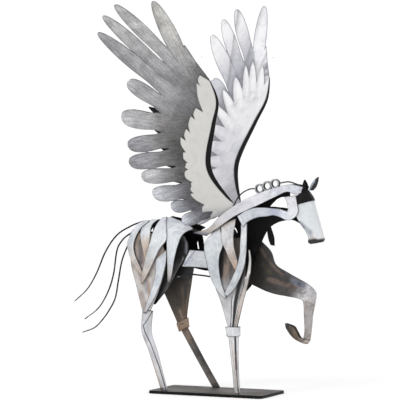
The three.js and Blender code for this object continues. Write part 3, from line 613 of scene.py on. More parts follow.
def cream_coat(name):
    """Thick cream coat with soft grey stains and fine pitting."""
    paint = Paint(name, 0.55)
    cloud = paint.noise(paint.coords, 45.0, 5.0, 0.6, 0.7)
    pits = paint.noise(paint.coords, 320.0, 4.0, 0.6)
    clouds = paint.ramp(cloud, 0.46, 0.72, 0.0, 0.6)
    colour = paint.mix(clouds, (0.54, 0.532, 0.515), (0.45, 0.45, 0.435))
    low = paint.ramp(paint.part(paint.coords, 2), 0.352, 0.385, 0.6, 0.0)
    colour = paint.mix(low, colour, (0.33, 0.33, 0.35))
    rim = paint.ramp(paint.part(paint.attribute("place"), 2), 0.1, 1.4, 0.55, 0.0)
    colour = paint.mix(rim, colour, (0.30, 0.29, 0.26))
    paint.bump(pits, 0.15, 0.0005)
    return paint.done(colour, paint.ramp(pits, 0.3, 0.7, 0.48, 0.66))


def dark_wire(name):
    """Dark steel wire with bright rubbed stretches."""
    paint = Paint(name, 0.35, 0.7)
    worn = paint.noise(paint.coords, 55.0, 4.0, 0.6)
    colour = paint.mix(paint.ramp(worn, 0.52, 0.70), (0.012, 0.012, 0.014), (0.16, 0.16, 0.17))
    paint.bump(paint.noise(paint.coords, 700.0, 3.0, 0.6), 0.2, 0.0002)
    return paint.done(colour, paint.ramp(worn, 0.3, 0.7, 0.5, 0.28))


INK = black_paint("ink_black")
EDGE_BLACK = black_paint("edge_black", 0.3)
STRIP = coat("strip_white", 0.48, 0.0, 0.9, 0.9, (0.72, 0.74, 0.77))
SHEET_COAT = coat("sheet_streaked", 0.5, 0.0, 0.6, 0.8, (0.62, 0.60, 0.60))
LEG = coat("leg_streaked", 0.42, 0.05, 0.9, 0.9, (0.42, 0.39, 0.37), 0.7, 45.0, 1.5)
BAND = coat("band_brushed", 0.36, 0.2, 0.5, 0.9, (0.62, 0.66, 0.74), 0.5, 60.0)
FACE = coat("face_white", 0.5, 0.0, 0.3, 0.2)
CREAM = cream_coat("cream_coat")
STEEL = feather_steel("feather_steel")
PEARL = feather_pearl("feather_pearl", "inner", 0.75)
FINGER_PEARL = feather_pearl("finger_pearl", "tone", 0.25)
WIRE_DARK = dark_wire("wire_dark")

# Outer material, inner material, slot
WHITE_STRIP = (STRIP, INK, "patina")
RAW_SHEET = (SHEET_COAT, INK, "raw")
LEG_SHEET = (LEG, INK, "raw")
LEG_BAR = (LEG, LEG, "raw")
BLACK = (INK, INK, "black")

# ---- Base plate


def plate_look():
    outline = []
    for sign_x, sign_y, start in ((1, -1, -90), (1, 1, 0), (-1, 1, 90), (-1, -1, 180)):
        for k in range(CORNER_STEPS + 1):
            angle = math.radians(start + 90 * k / CORNER_STEPS)
            outline.append((
                sign_x * (PLATE_LENGTH / 2 - PLATE_CORNER) + PLATE_CORNER * math.cos(angle),
                sign_y * (PLATE_WIDTH / 2 - PLATE_CORNER) + PLATE_CORNER * math.sin(angle),
            ))
    outline = np.array(outline)
    count = len(outline)
    soft = PLATE_CHAMFER
    vertices = []
    for z, inset in [(0, soft), (soft, 0), (PLATE_THICKNESS - soft, 0), (PLATE_THICKNESS, soft)]:
        inner = outline * (1 - inset / np.array([PLATE_LENGTH / 2, PLATE_WIDTH / 2]))
        vertices += [(x, y, z) for x, y in inner]
    faces = between_rings(4, count) + [range(count - 1, -1, -1), range(3 * count, 4 * count)]
    slots = [1] * (len(faces) - 1) + [0]
    top = coat("plate_top", 0.55, 0.0, 0.3, 0.3, (0.7, 0.68, 0.66), 0.0, 16.0)
    top.node_tree.nodes["Principled BSDF"].inputs["Specular IOR Level"].default_value = 0.2
    attributes = {
        "place": [(x, y, FAR_FROM_EDGE) for x, y, _ in vertices],
        "tone": np.tile(tint(88, 83, 79), (len(vertices), 1)),
    }
    side = black_paint("plate_side", 0.45)
    add_piece("base_plate", vertices, faces, slots, [top, side], attributes)


plate_look()

WHITE = (226, 230, 234)
COOL = (214, 220, 226)
PINK = (203, 190, 180)
TAN = (178, 160, 146)
DARK = (30, 30, 33)
STOPS_WHITE = [(0, (216, 218, 224)), (12, WHITE), (70, COOL), (100, (196, 200, 204))]
STOPS_BROWN = [(0, (220, 222, 228)), (35, WHITE), (62, (208, 204, 202)), (85, PINK), (100, TAN)]
# Raw sheet: browner and darker towards the top, where it lies under the strips: brown stain and painted shade
STOPS_SHEET = [
    (0, (150, 132, 118)), (30, (168, 156, 150)), (50, (190, 184, 180)), (62, (206, 202, 200)),
    (100, (214, 212, 212)),
]

# ---- Hindquarters

RUMP_STRIPS = {
    "tail_side_strip": (2, STOPS_BROWN, [
        (-150, 341, -138, 341), (-172, 332, -151, 330), (-187, 319, -162, 314), (-191, 300, -168, 295),
        (-183, 280, -165, 278), (-175, 265, -157, 263), (-162, 249, -149, 250), (-148, 234, -142, 237),
    ], []),
    "croup_blade": (1, [(0, WHITE), (42, (228, 230, 234)), (60, (205, 190, 178)), (100, (190, 165, 148))], [
        (-147, 342, -121, 345), (-151, 332, -128, 338), (-154, 323, -130, 330), (-153, 313, -129, 319),
        (-150, 302, -129, 306), (-146, 290, -131, 291), (-143, 278, -134, 279), (-140, 266, -137, 266),
    ], []),
    "croup_crescent": (3, [
        (0, (222, 222, 230)), (35, WHITE), (60, (214, 216, 218)), (85, PINK), (100, TAN),
    ], [
        (-110, 346, -101, 347), (-115, 337, -92, 328), (-120, 323, -89, 308), (-125, 304, -101, 293),
        (-132, 282, -111, 276), (-139, 260, -121, 256), (-145, 236, -132, 236), (-146, 218, -144, 218),
    # Pale line across the strip: painted highlight on its bend
    ], [([(0, 40), (100, 36)], 1.6, (244, 244, 246), 80)]),
    "loin_blade": (2, [
        (0, (216, 217, 224)), (40, WHITE), (75, COOL), (90, (196, 192, 192)), (100, (120, 116, 118)),
    ], [
        (-40, 329, -39, 327), (-60, 337, -50, 323), (-80, 344, -58, 315), (-101, 347, -63, 301),
        (-91, 324, -68, 285), (-88, 294, -73, 265), (-87, 260, -77, 242), (-87, 222, -82, 223),
    # Pale line across the strip: painted highlight on its bend; the dark spot at the tip is a weld
    ], [([(0, 62), (100, 56)], 1.4, (244, 244, 246), 70), ([(50, 99)], 2.6, DARK, 90)]),
}
HOCK_SEAM = 165


for side_name, side in SIDES.items():
    for strip, (layer, stops, rows, strokes) in RUMP_STRIPS.items():
        skin_piece(f"{strip}_{side_name}", rows, layer, side, WHITE_STRIP, stops=stops, strokes=strokes)

skin_piece(
    "thigh_sheet_right",
    [
        (-160, 320, -106, 320), (-181, 268, -92, 266), (-163, 215, -106, 213),
        (-147, HOCK_SEAM, -128, HOCK_SEAM),
    ],
    0, -1, RAW_SHEET, across=28, steps=60, crown=0, stops=STOPS_SHEET,
    strokes=[
        ([(12, 30), (30, 62)], 6, (150, 138, 132), 60),
        ([(42, 42), (56, 72)], 5, (172, 152, 140), 70),
        ([(24, 12), (34, 36)], 7, (92, 88, 92), 80),
        ([(42, 10), (44, 40)], 4, (186, 156, 138), 80),
        ([(45, 62), (50, 74)], 6, (150, 150, 158), 60),
        ([(55, 62), (75, 95)], 3, (196, 165, 146), 70),
        ([(10, 50), (25, 70)], 5, (206, 200, 197), 70),
        ([(15, 78), (40, 97)], 7, (168, 153, 145), 80),
        ([(30, 45), (55, 52)], 5, (120, 114, 112), 60),
    ],
)
skin_piece(
    "stifle_crescent_right",
    [
        (-114, 269, -90, 289), (-114, 261, -90, 276), (-114, 252, -92, 260), (-115, 239, -97, 242),
        (-120, 221, -103, 221), (-127, 202, -112, 203), (-135, 182, -123, 182), (-144, 160, -138, 159),
    ],
    1, -1, WHITE_STRIP, stops=[(0, (196, 188, 180)), (10, COOL), (80, WHITE), (100, (176, 172, 170))],
    strokes=[([(60, 100)], 2.2, DARK, 90)],
)
skin_piece("thigh_sheet_left", [
    (-160, 320, -100, 320), (-158, 268, -84, 266), (-136, 222, -82, 224), (-114, 192, -88, 192),
], 0, 1, RAW_SHEET, across=16, crown=0, stops=STOPS_SHEET)
skin_piece("stifle_crescent_left", [
    (-113, 272, -91, 284), (-112, 243, -92, 248), (-108, 220, -92, 222), (-101, 196, -95, 196),
], 1, 1, WHITE_STRIP, stops=STOPS_WHITE)

ribbon("thigh_inner_wall_right", ruled_grid(
    [(-100, -14, 322), (-112, -14, 280), (-120, -16, 230), (-131, -36.5, 176)],
    [(-54, -36, 316), (-43, -41, 297), (-49, -41, 275), (-66, -41, 250), (-86, -40, 215), (-118, -36.5, 178)],
    across=30, crown=6, steps=60,
), (0.3, -1, 0), (LEG, INK, "black"), stops=[(0, (14, 14, 15)), (100, (14, 14, 15))], strokes=[
    # Pale strokes from 90 per cent across to the front rim: painted highlight along the lit rim
    ([(93, 8), (90, 30)], 5, (98, 100, 112), 85),
    ([(97, 10), (98.5, 34)], 2, (160, 162, 168), 90),
    ([(90, 42), (93, 46)], 3, (150, 146, 146), 70),
    ([(97.5, 50), (97.5, 86)], 0.9, (186, 182, 180), 90),
    ([(80, 70), (80, 90)], 4, (60, 60, 64), 70),
])
channel_piece(
    "shank_right_hind",
    [
        (-126, HOCK_SEAM - SHEET, -147, HOCK_SEAM - SHEET, -32, 5.5),
        (-128, 122, -147, 122, -34, 6), (-113, 80, -130, 82, -36, 5.5),
        (-91, FLOOR, -103, FLOOR, -38, 4.5),
    ],
    WHITE_STRIP, steps=90, across=48,
    stops=[(0, (205, 205, 208)), (40, (222, 222, 228)), (100, (212, 212, 216))],
    strokes=[
        ([(2, 45), (8, 98)], 2.4, (196, 178, 164), 75),
        ([(45, 2), (50, 30)], 1.6, (190, 172, 160), 60),
        # Dark line along the channel's fold: painted shade in the crease
        ([(42, 0), (22, 14), (7, 24), (12, 34), (20, 55), (28, 80), (32, 100)], 1, DARK, 100),
        ([(5, 99), (60, 99)], 2.6, (24, 24, 26), 100),
    ],
)
channel_piece(
    "thigh_inner_wall_left",
    [
        (-80, 300, -148, 300, 19, 8), (-61, 262, -146, 255, 21, 9), (-67, 225, -131, 212, 26, 9),
        (-75, 187, -115, 172, 30, 6.5), (-84, 152, -105, 141, 39, 5.5),
        (-84, 141, -103, 131, 40.6, 5.5),
    ],
    LEG_SHEET, square=0.7, steps=80, across=40,
    # Black at the top, then brown streaks: the black is painted shade deep inside the body
    stops=[(0, (6, 6, 6)), (32, (9, 9, 9)), (42, (42, 35, 29)), (60, (64, 54, 44)), (80, (98, 84, 70)),
           (100, (136, 114, 94))],
    strokes=[
        ([(42, 40), (40, 62)], 2.2, (116, 94, 74), 70),
        ([(30, 42), (32, 60)], 1.6, (40, 36, 34), 80),
        ([(42, 45), (44, 70)], 1.4, (48, 44, 42), 70),
        ([(62, 50), (60, 72)], 1.6, (74, 84, 96), 70),
        ([(52, 30), (51, 50), (49, 72), (48, 86)], 2.6, (10, 9, 9), 95),
        ([(12, 70), (20, 95)], 2.6, (146, 124, 106), 70),
        ([(22, 46), (25, 74)], 2.4, (104, 86, 70), 60),
        ([(37, 62), (38, 88)], 1.8, (122, 100, 80), 65),
    ],
)
channel_piece("hock_band_left", [
    (-84, 145, -104, 134, 40, 5.5), (-83, 127, -99, 117, 42, 5.5),
], (LEG, LEG, "rust"), square=0.7, grow=2 * SHEET, steps=24, across=32,
    stops=[(0, (156, 134, 114)), (100, (160, 132, 108))],
    strokes=[([(10, 35), (16, 40)], 1.2, DARK, 90), ([(46, 90), (50, 96)], 1.2, DARK, 80)])
ribbon("shank_left_hind", ruled_grid(
    [(-100, 43, 124), (-62, 44, 61), (-28, 45, FLOOR + 0.2)],
    [(-88, 44.4, 130), (-51, 46, 66), (-15, 48, FLOOR + 0.2)],
    steps=60, across=14,
), (0, -1, 0), LEG_BAR, thickness=BAR, stops=[
    (0, (150, 128, 112)), (12, (136, 118, 104)), (30, (92, 86, 82)), (60, (88, 84, 80)), (90, (112, 104, 98)),
    (97, (60, 56, 52)), (100, (16, 16, 16)),
], strokes=[([(5, 30), (5, 90)], 1.6, (128, 116, 104), 60), ([(80, 20), (80, 80)], 1.8, (64, 60, 58), 60)])

# ---- Shoulders and forelegs

SHOULDER_STRIPS = {
    "shoulder_leaf": (1, [
        (0, (218, 220, 226)), (30, (220, 225, 228)), (75, (208, 213, 217)), (100, (214, 216, 218)),
    ], [
        (0, 316, 21, 336), (-7, 304, 28, 321), (-7, 288, 33, 303), (-4, 270, 25, 279),
        (1, 249, 24, 253), (8, 229, 28, 227), (20, 209, 34, 210), (35, 194, 39, 197),
    ], [([(100, 98)], 1.8, DARK, 100), ([(0, 30), (2, 60)], 1.6, (150, 152, 156), 60)]),
    "shoulder_blade": (2, [
        (0, (206, 190, 180)), (14, (226, 224, 224)), (45, (214, 213, 214)), (70, (196, 180, 168)),
        (100, (186, 158, 140)),
    ], [
        (23, 336, 55, 351), (28, 327, 56, 340), (29, 317, 55, 326), (32, 305, 55, 311),
        (39, 291, 57, 294), (46, 274, 61, 278), (53, 261, 64, 266), (59, 250, 61, 252),
    ], [([(75, 62), (80, 75)], 1.6, (150, 144, 142), 70)]),
    "breast_strip": (3, [
        (0, (232, 234, 236)), (50, (218, 222, 226)), (80, (206, 210, 214)), (100, (214, 216, 218)),
    ], [
        (69, 342, 80, 343), (70, 326, 81, 326), (69, 304, 81, 306), (68, 284, 80, 284),
        (63, 261, 77, 260), (53, 237, 69, 237), (41, 215, 58, 216), (37, 205, 42, 199),
    ], [([(95, 30), (95, 80)], 1.2, (168, 172, 178), 70)]),
}
for side_name, side in SIDES.items():
    for strip, (layer, stops, rows, strokes) in SHOULDER_STRIPS.items():
        skin_piece(f"{strip}_{side_name}", rows, layer, side, WHITE_STRIP, stops=stops, strokes=strokes)

KNEE_TOP = 138
KNEE_LOW = 120
KNEE_Y = -29
KNEE_HALF = 8
skin_piece(
    "forearm_sheet_right",
    [
        (16, 316, 68, 316, 14), (12, 270, 76, 270, 11), (12, 225, 74.8, 225, 1.5), (26, 185, 62, 185),
        (41, KNEE_TOP - 6, 50.6, KNEE_TOP - 6),
    ],
    0, -1, RAW_SHEET, across=36, crown=0, steps=90,
    # Darker at the top, where the sheet lies deep under the strips: grey-brown streaks and painted shade
    stops=[(0, (96, 86, 80)), (40, (104, 96, 92)), (60, (190, 188, 190)), (100, (222, 222, 226))],
    strokes=[
        # Black at the top near the rear edge: painted shadow
        ([(10, 0), (20, 42)], 6, (20, 19, 20), 90),
        ([(45, 15), (40, 40)], 3, (150, 128, 114), 80),
        ([(56, 20), (54, 45)], 2.4, (70, 68, 70), 70),
        ([(32, 30), (33, 46)], 2, (160, 136, 120), 70),
        # Black band along the front edge: painted shade of the hollow showing beside the edge strip
        ([(99, 0), (93, 30), (86, 50), (84, 75), (80, 100)], 4.6, (12, 12, 14), 100),
        ([(80, 42), (70, 72), (62, 100)], 1.5, (240, 240, 244), 90),
        ([(74, 42), (63, 72), (52, 100)], 1, (44, 46, 54), 90),
    ],
)
skin_piece("forearm_edge_strip_right", [
    (84, 292, 86.5, 292), (84.5, 268, 89, 268), (78.5, 235, 86, 235), (64, 187, 73, 187),
    (51.5, KNEE_TOP - 6, 59, KNEE_TOP - 6),
], 0, -1, WHITE_STRIP, across=16, steps=60, stops=[
    (0, (224, 222, 216)), (40, (226, 224, 220)), (60, (206, 198, 192)), (85, (206, 190, 182)),
    (100, (190, 178, 172)),
], strokes=[
    ([(100, 45), (100, 100)], 1.6, DARK, 95),
    ([(45, 50), (40, 100)], 0.8, (110, 104, 104), 70),
    ([(0, 50), (0, 100)], 1, (60, 60, 66), 80),
])
channel_piece("knee_band_right", [
    (63, KNEE_TOP, 37, KNEE_TOP, KNEE_Y, KNEE_HALF), (63, KNEE_LOW, 40, KNEE_LOW - 1, KNEE_Y, KNEE_HALF),
], WHITE_STRIP, square=0.7, grow=SHEET, steps=16, across=32,
    stops=[(0, (226, 228, 232)), (100, (222, 224, 226))])
channel_piece("cannon_right", [
    (61.5, KNEE_LOW + 5, 42, KNEE_LOW + 5, KNEE_Y, KNEE_HALF - LAP),
    (62, 60, 50, 60, -31, 5),
    (65, FLOOR, 56, FLOOR, -32, 4.5),
], WHITE_STRIP, square=0.7, steps=90, across=64,
    stops=[(0, (226, 226, 230)), (100, (216, 214, 212))], strokes=[
    ([(6, 10), (12, 90)], 1.4, (202, 186, 174), 80),
    # The dark lines near 24, 63 and 82 per cent across: painted shade in the channel's folds and gaps
    ([(23, 4), (23, 30), (24, 55)], 2, (34, 36, 42), 100),
    ([(24, 55), (26, 95)], 1.2, (70, 66, 66), 80),
    ([(27, 30), (28, 55)], 1, (150, 120, 100), 60),
    ([(66, 2), (60, 50), (66, 100)], 1.6, DARK, 100),
    ([(74, 5), (68, 40)], 0.9, (90, 96, 112), 80),
    ([(80, 50), (84, 100)], 1.6, (40, 42, 46), 90),
    ([(30, 92), (34, 100)], 1.2, (40, 40, 42), 90),
])

FETLOCK = (191, 112, 179, 116, 30, 5)
channel_piece(
    "foreleg_left",
    [
        (86, 308, 54, 262, 24, 4), (108, 286, 58, 229, 25, 7), (118, 260, 86, 213, 27, 9),
        (142, 245, 114, 203, 30, 9), (166, 233, 146, 198, 30, 8), (188, 222, 167, 195, 30, 8),
        (203, 207, 178, 190, 30, 8), (202, 188, 180, 178, 30, 7), (197, 165, 180, 160, 30, 6),
        (194, 135, 181, 133, 30, 5),
        FETLOCK,
    ],
    LEG_SHEET, steps=130, across=44, square=0.8,
    stops=[
        (0, (26, 24, 22)), (14, (42, 37, 34)), (25, (50, 46, 43)), (34, (60, 56, 54)), (42, (86, 83, 83)),
        (50, (176, 174, 178)), (58, (212, 210, 214)), (70, (174, 170, 168)), (85, (168, 164, 164)),
        (100, (172, 164, 160)),
    ],
    strokes=[
        ([(30, 2), (32, 16), (30, 28)], 3, (98, 82, 72), 80),
        ([(20, 12), (20, 22)], 4, (66, 62, 44), 80),
        ([(42, 10), (40, 30)], 5, (50, 42, 40), 60),
        ([(12, 22), (16, 42)], 5, (116, 98, 86), 70),
        ([(30, 38), (30, 46)], 7, (106, 112, 128), 75),
        ([(28, 43)], 4, (52, 62, 84), 70),
        ([(46, 30), (44, 42)], 4, (84, 84, 88), 70),
        ([(30, 54), (34, 60)], 6, (206, 206, 214), 60),
        ([(5, 64), (5, 74)], 2, (170, 150, 138), 70),
        ([(10, 72), (40, 72)], 1.4, (150, 146, 140), 60),
        ([(2, 0), (4, 30)], 2.2, (22, 20, 19), 80),
    ],
)
channel_piece("hoof_left", [
    (FETLOCK[0], FETLOCK[1] - 2 * FIT, FETLOCK[2], FETLOCK[3] - 2 * FIT) + FETLOCK[4:],
    (183, 104, 170, 116, 30, 5), (165, 109, 163, 128, 30, 5), (151, 118, 155, 138, 30, 6),
    (140, 132, 138, 144, 30, 4),
], LEG_BAR, steps=60, across=32, stops=[
    (0, (190, 178, 172)), (30, (166, 150, 140)), (50, (128, 112, 96)), (75, (92, 78, 66)),
    (100, (40, 34, 32)),
], strokes=[([(85, 35), (90, 100)], 3, (34, 30, 28), 80), ([(10, 0), (12, 20)], 2, (70, 84, 104), 70)])
ribbon("chest_strip_left", ruled_grid(
    [(104, 12.2, 336), (107, 13.5, 314), (112, 14, 300)],
    [(113, 11.5, 338), (120, 13, 316), (121, 13.5, 299)],
), (0, -1, 0), (EDGE_BLACK, INK, "black"))

# ---- Trunk

BELLY_BANDS = {
    "right": [(-39.5, 289, -56, 256), (-20, 288, -28, 256), (3, 287, 3, 254)],
    "left": [(-80, 281.6, -80, 250), (-40, 281.6, -40, 243), (3, 284, 3, 246)],
}
for side_name, side in SIDES.items():
    skin_piece(
        f"belly_band_{side_name}", BELLY_BANDS[side_name], 0, side, (BAND, INK, "brushed"),
        crown=0.2, steps=50, across=24,
        stops=[(0, (176, 178, 188)), (25, (206, 208, 214)), (100, (214, 216, 216))],
        strokes=[
            ([(0, 28), (90, 8)], 1, (120, 126, 142), 80),
            ([(0, 36), (80, 18)], 0.8, (132, 136, 150), 70),
            ([(15, 10), (60, 2)], 1.4, (240, 240, 244), 90),
            ([(50, 34), (100, 22)], 0.9, (150, 154, 166), 70),
            ([(97, 0), (97, 100)], 0.9, (236, 236, 236), 80),
        ],
    )


FLANK_BODY = outline_field([(-82, 282), (-46, 282), (-49, 320), (-65, 323), (-82, 322)])
FLANK_SLIT = outline_field([(-64.5, 310), (-61.2, 310), (-57.6, 286), (-60.9, 286)])


def flank_field(x, z):
    return np.minimum(FLANK_BODY(x, z), -FLANK_SLIT(x, z))


plate_piece(
    "flank_sheet_left", flank_field, (-86, -42, 278, 328), 1.2, lambda x, z, out: on_trunk(x, z, out, 1),
    lambda x, z: (np.zeros_like(x), flat_place(x, z, flank_field(x, z))), [INK, INK],
)
BACK_BAR = [
    (-148, 9, 340), (-130, 14, 343.5), (-112, 15.6, 347.5), (-90, 17.6, 342.7), (-50, 18, 327),
    (-15, 16, 321), (12, 12, 332), (33.5, 11.8, 367),
]
ribbon("back_bar", mirrored_grid(BACK_BAR), (0, 0, 1), BLACK)
wire_piece("belly_wire", [(-69, -38, 234), (-43, -37, 240), (-15, -38, 239), (5.8, -38.2, 236.8)], 40)

# ---- Tail

TAIL_WIRES = [
    [(-137, 0, 344.4), (-150, 0, 342.6), (-165, 0, 341), (-190, 0, 332), (-222, 0, 313), (-248, 0, 279),
     (-269, 0, 234), (-290, 0, 201), (-319, 0, 175)],
    [(-172, -5.5, 328.5), (-187, -6, 318.3), (-204, -7, 306), (-219, -5, 285), (-228, -5, 233),
     (-240, -5, 198), (-261, -6, 164), (-293, -6, 139.5)],
    [(-190, -9.9, 300), (-207, -8, 262), (-215, -9, 220), (-222, -10, 184), (-236, -10, 159),
     (-252, -10, 138.5), (-269, -10, 123), (-296, -10, 112.6)],
]
for number, points in enumerate(TAIL_WIRES):
    wire_piece(f"tail_wire_{number + 1}", points, taper=lambda t: 1 - 0.35 * max(t - 0.6, 0) / 0.4)

# ---- Wings

# Rows: tip x, z, base x, z, width
LONG_FEATHERS = [
    (-12.5, 780, 12, 655, 33), (-85, 773, -8, 665, 28), (-113, 752, -26, 643, 28),
    (-132, 720, -34, 613, 33), (-101, 625, -46, 580, 34), (-130, 555, -58, 545, 38),
    (-130, 497, -55, 510, 32), (-135, 463, -53, 475, 32), (-117, 435, -44, 441, 30),
    (-104, 399, -42, 407, 32), (-75, 373, -36, 380, 25), (-60, 343, -18, 362, 25),
]
# Tone of each long feather: at its tip, and at its root
FEATHER_TONES = [
    ((0.42, 0.415, 0.40), (0.36, 0.36, 0.36)), ((0.41, 0.41, 0.41), (0.31, 0.31, 0.32)),
    ((0.36, 0.36, 0.365), (0.26, 0.26, 0.27)), ((0.29, 0.29, 0.30), (0.31, 0.31, 0.325)),
    ((0.36, 0.36, 0.375), (0.26, 0.26, 0.27)), ((0.41, 0.41, 0.425), (0.24, 0.235, 0.235)),
    ((0.25, 0.25, 0.27), (0.19, 0.188, 0.185)), ((0.25, 0.25, 0.27), (0.19, 0.188, 0.185)),
    ((0.42, 0.42, 0.435), (0.24, 0.235, 0.235)), ((0.46, 0.47, 0.50), (0.27, 0.27, 0.29)),
    ((0.36, 0.37, 0.41), (0.24, 0.24, 0.27)), ((0.48, 0.49, 0.54), (0.30, 0.30, 0.34)),
]
# The same for their inner faces, most of them darker at the root, between the covert fingers: painted shade
INNER_TONES = [((0.76, 0.76, 0.775), (0.74, 0.74, 0.76))]
INNER_TONES += [((0.73, 0.73, 0.74), (0.34, 0.34, 0.385))] * 3
INNER_TONES += [((0.52, 0.52, 0.56), (0.30, 0.30, 0.34))] * 8
FINGER_TONES = [((0.68, 0.68, 0.69), (0.62, 0.62, 0.625))] * 6
FINGER_TONES += [((0.55, 0.55, 0.58), (0.54, 0.54, 0.565))] * 5
# Width of the feathers that taper from far down
POINTED = 33
COVERT_LOBES = [
    (36, 638, 33, 617), (27, 624, 26, 566), (14, 574, 8, 551), (1, 558, -7, 525), (-12, 534, -18, 509),
    (-27, 516, -23, 486), (-29, 482, -23, 465), (-28, 461, -25, 452), (-34, 441, -22, 426),
    (-26, 419, -25, 403), (-31, 400, -10, 381), (-17, 366, 3, 368),
]
COVERT_FINGERS = [
    (26, 655, 36, 598, 22), (-2, 664, 17, 603, 21), (-18, 656, 2, 600, 19), (-38, 632, -10, 580, 27),
    (-62, 606, -19, 557, 23), (-75, 575, -26, 537, 22), (-76, 533, -33, 515, 26),
    (-72, 497, -35, 487, 27), (-70, 462, -35, 461, 24), (-64, 430, -33, 435, 26),
    (-48, 388, -20, 408, 24),
]
FEATHER_STATIONS = [(-0.2, 0.5), (0.02, 0.51), (0.2, 0.45), (0.5, 0.5), (1.0, 0.5)]
FINGER_STATIONS = [(-0.2, 0.5), (0, 0.5), (0.25, 0.46), (0.5, 0.39), (0.75, 0.27), (0.9, 0.15), (1, 0.02)]

ROOT_SHARE = -0.2
LONG_FEATHER = 110
# Shift of the brush lines from one feather to the next
BRUSH_SHIFT = 37.0
# Painted shade under the coverts and between the feathers: darkest share, and how far it reaches
SHADE_UNDER_COVERT = (0.34, 62)
SHADE_BETWEEN_FINGERS = (0.60, 16)


def strip_width(z):
    t = np.clip((z - WING_ROOT) / (WRIST_LEVEL - WING_ROOT), 0, 1)
    return EDGE_STRIP_WIDTH * np.maximum(np.sin(math.pi * t ** 0.65), 0) ** 0.8


def front_edge(top):
    """Points along the wing's front, clear of the edge strip."""
    z = np.linspace(WING_ROOT, top, 41)
    return list(zip(smooth(WING_EDGE, z)[:, 1] - (strip_width(z) + FIT), z))


def feather_fields(feathers, x, z):
    """For each feather: depth inside it, place across (-1 to 1) and along (0 to 1), and both in mm."""
    fields = []
    fingers = feathers is COVERT_FINGERS
    stations = FINGER_STATIONS if fingers else FEATHER_STATIONS
    for tip_x, tip_z, base_x, base_z, width in feathers:
        length = math.hypot(tip_x - base_x, tip_z - base_z)
        ax = (tip_x - base_x) / length
        az = (tip_z - base_z) / length
        along = ((x - base_x) * ax + (z - base_z) * az) / length
        across = (x - base_x) * -az + (z - base_z) * ax
        half = smooth(stations, np.clip(np.ravel(along), ROOT_SHARE, 1))[:, 1] * width
        half = half.reshape(np.shape(along))
        if not fingers:
            straight = 0.3 if width == POINTED else 0.5
            tip = np.clip((along - straight) / (1 - straight), 0, 1)
            blunt = 2.1 if length > LONG_FEATHER else 2.7
            half = half * np.maximum(1 - tip ** blunt, 0) ** (1 / blunt)
        inside = half - np.abs(across)
        inside = np.where(along > 1, -(along - 1) * length - np.abs(across), inside)
        inside = np.where(along < ROOT_SHARE, (along - ROOT_SHARE) * length, inside)
        fields.append((inside, across / np.maximum(half, 1), along, across, along * length))
    return [np.stack(values) for values in zip(*fields)]


def blended(tones, along, weight):
    tip_tone, root_tone = np.array(tones).transpose(1, 0, 2)[:, :, None, :]
    share = ease(along, -0.1, 0.8)[..., None]
    return ((root_tone * (1 - share) + tip_tone * share) * weight[..., None]).sum(0)


def shade(depth, start, darkest, reach):
    return darkest + (1 - darkest) * ease(-depth, start, reach)[:, None]


def feathered(feathers, high_points, low_points, tones, inner_tones, crown, layer):
    """The field and the details of a plate of feathers and the palm that joins them."""
    palm = front_edge(WRIST_LEVEL) + high_points + [row[2:4] for row in feathers]
    palm_field = outline_field(palm + low_points)

    def field(x, z):
        return np.maximum(palm_field(x, z), feather_fields(feathers, x, z)[0].max(0))

    def details(x, z):
        inside, across, along, sideways, reach = feather_fields(feathers, x, z)
        cup = np.clip(1 - across ** 2, 0, 1) * ease(along, 0.0, 0.45) * (inside > 0)
        out = layer * LAYER + crown * (cup.max(0) - 0.35)
        weight = np.exp(np.clip(inside, -60, 12) / 2.0)
        weight = weight / weight.sum(0)
        best = inside.argmax(0)
        pick = np.arange(len(x))
        edge = np.maximum(palm_field(x, z), inside.max(0))
        # Where two feathers meet, a dark seam line: painted shade under the overlapping feather's edge
        first, second = np.sort(inside, axis=0)[:-3:-1]
        seam = np.clip(first - second, 0, 40) * 0.5 + 0.25
        rim = np.minimum(edge, np.where(second > -2, seam + 4 * (1 - ease(along.max(0), 0.0, 0.25)), 99))
        brushed = reach[best, pick] + BRUSH_SHIFT * best
        place = np.stack([sideways[best, pick], brushed, np.maximum(rim, 0)], -1)
        # Painted light: each feather lighter along its cupped middle and on one side
        painted_cup_light = 1 + 0.16 * (1 - np.abs(across.clip(-1, 1))) - 0.12 * across.clip(-1, 1)
        attributes = {"place": place, "tone": blended(tones, along, weight * painted_cup_light)}
        if inner_tones:
            # Painted shade: outer faces darker under the outer covert, inner faces darker beside the covert
            # fingers
            attributes["tone"] *= shade(covert_field(x, z), -4, *SHADE_UNDER_COVERT)
            attributes["inner"] = blended(inner_tones, along, weight)
            attributes["inner"] *= shade(finger_field(x, z), -3, *SHADE_BETWEEN_FINGERS)
        return out, attributes

    return field, details


def covert_outline():
    points = front_edge(WRIST_LEVEL - 4)
    here = np.array(points[-1], float)
    for lobe in COVERT_LOBES:
        tip, notch = np.array(lobe, float).reshape(2, 2)
        upper = (here + tip) / 2 + np.array([-2, 2])
        lower = (tip + notch) / 2 + np.array([-4, 0])
        points += [tuple(p) for p in sample([here, upper, tip, lower, notch], 12)[1:]]
        here = notch
    return points + [(-6, 353), (20, 360), (40, 373)]


covert_field = outline_field(covert_outline())


def covert_details(x, z):
    distance = covert_field(x, z)
    return LAYER - 0.25 + 0.9 * ease(distance, 0, 9), flat_place(x, z, distance)


finger_field, finger_details = feathered(
    COVERT_FINGERS, [], [(10, 380), (36, 376)], FINGER_TONES, None, 1.0, -1
)
long_field, long_details = feathered(
    LONG_FEATHERS, [(36, 662), (22, 698)], [(14, 356), (38, 372)], FEATHER_TONES, INNER_TONES, 1.6, 0
)
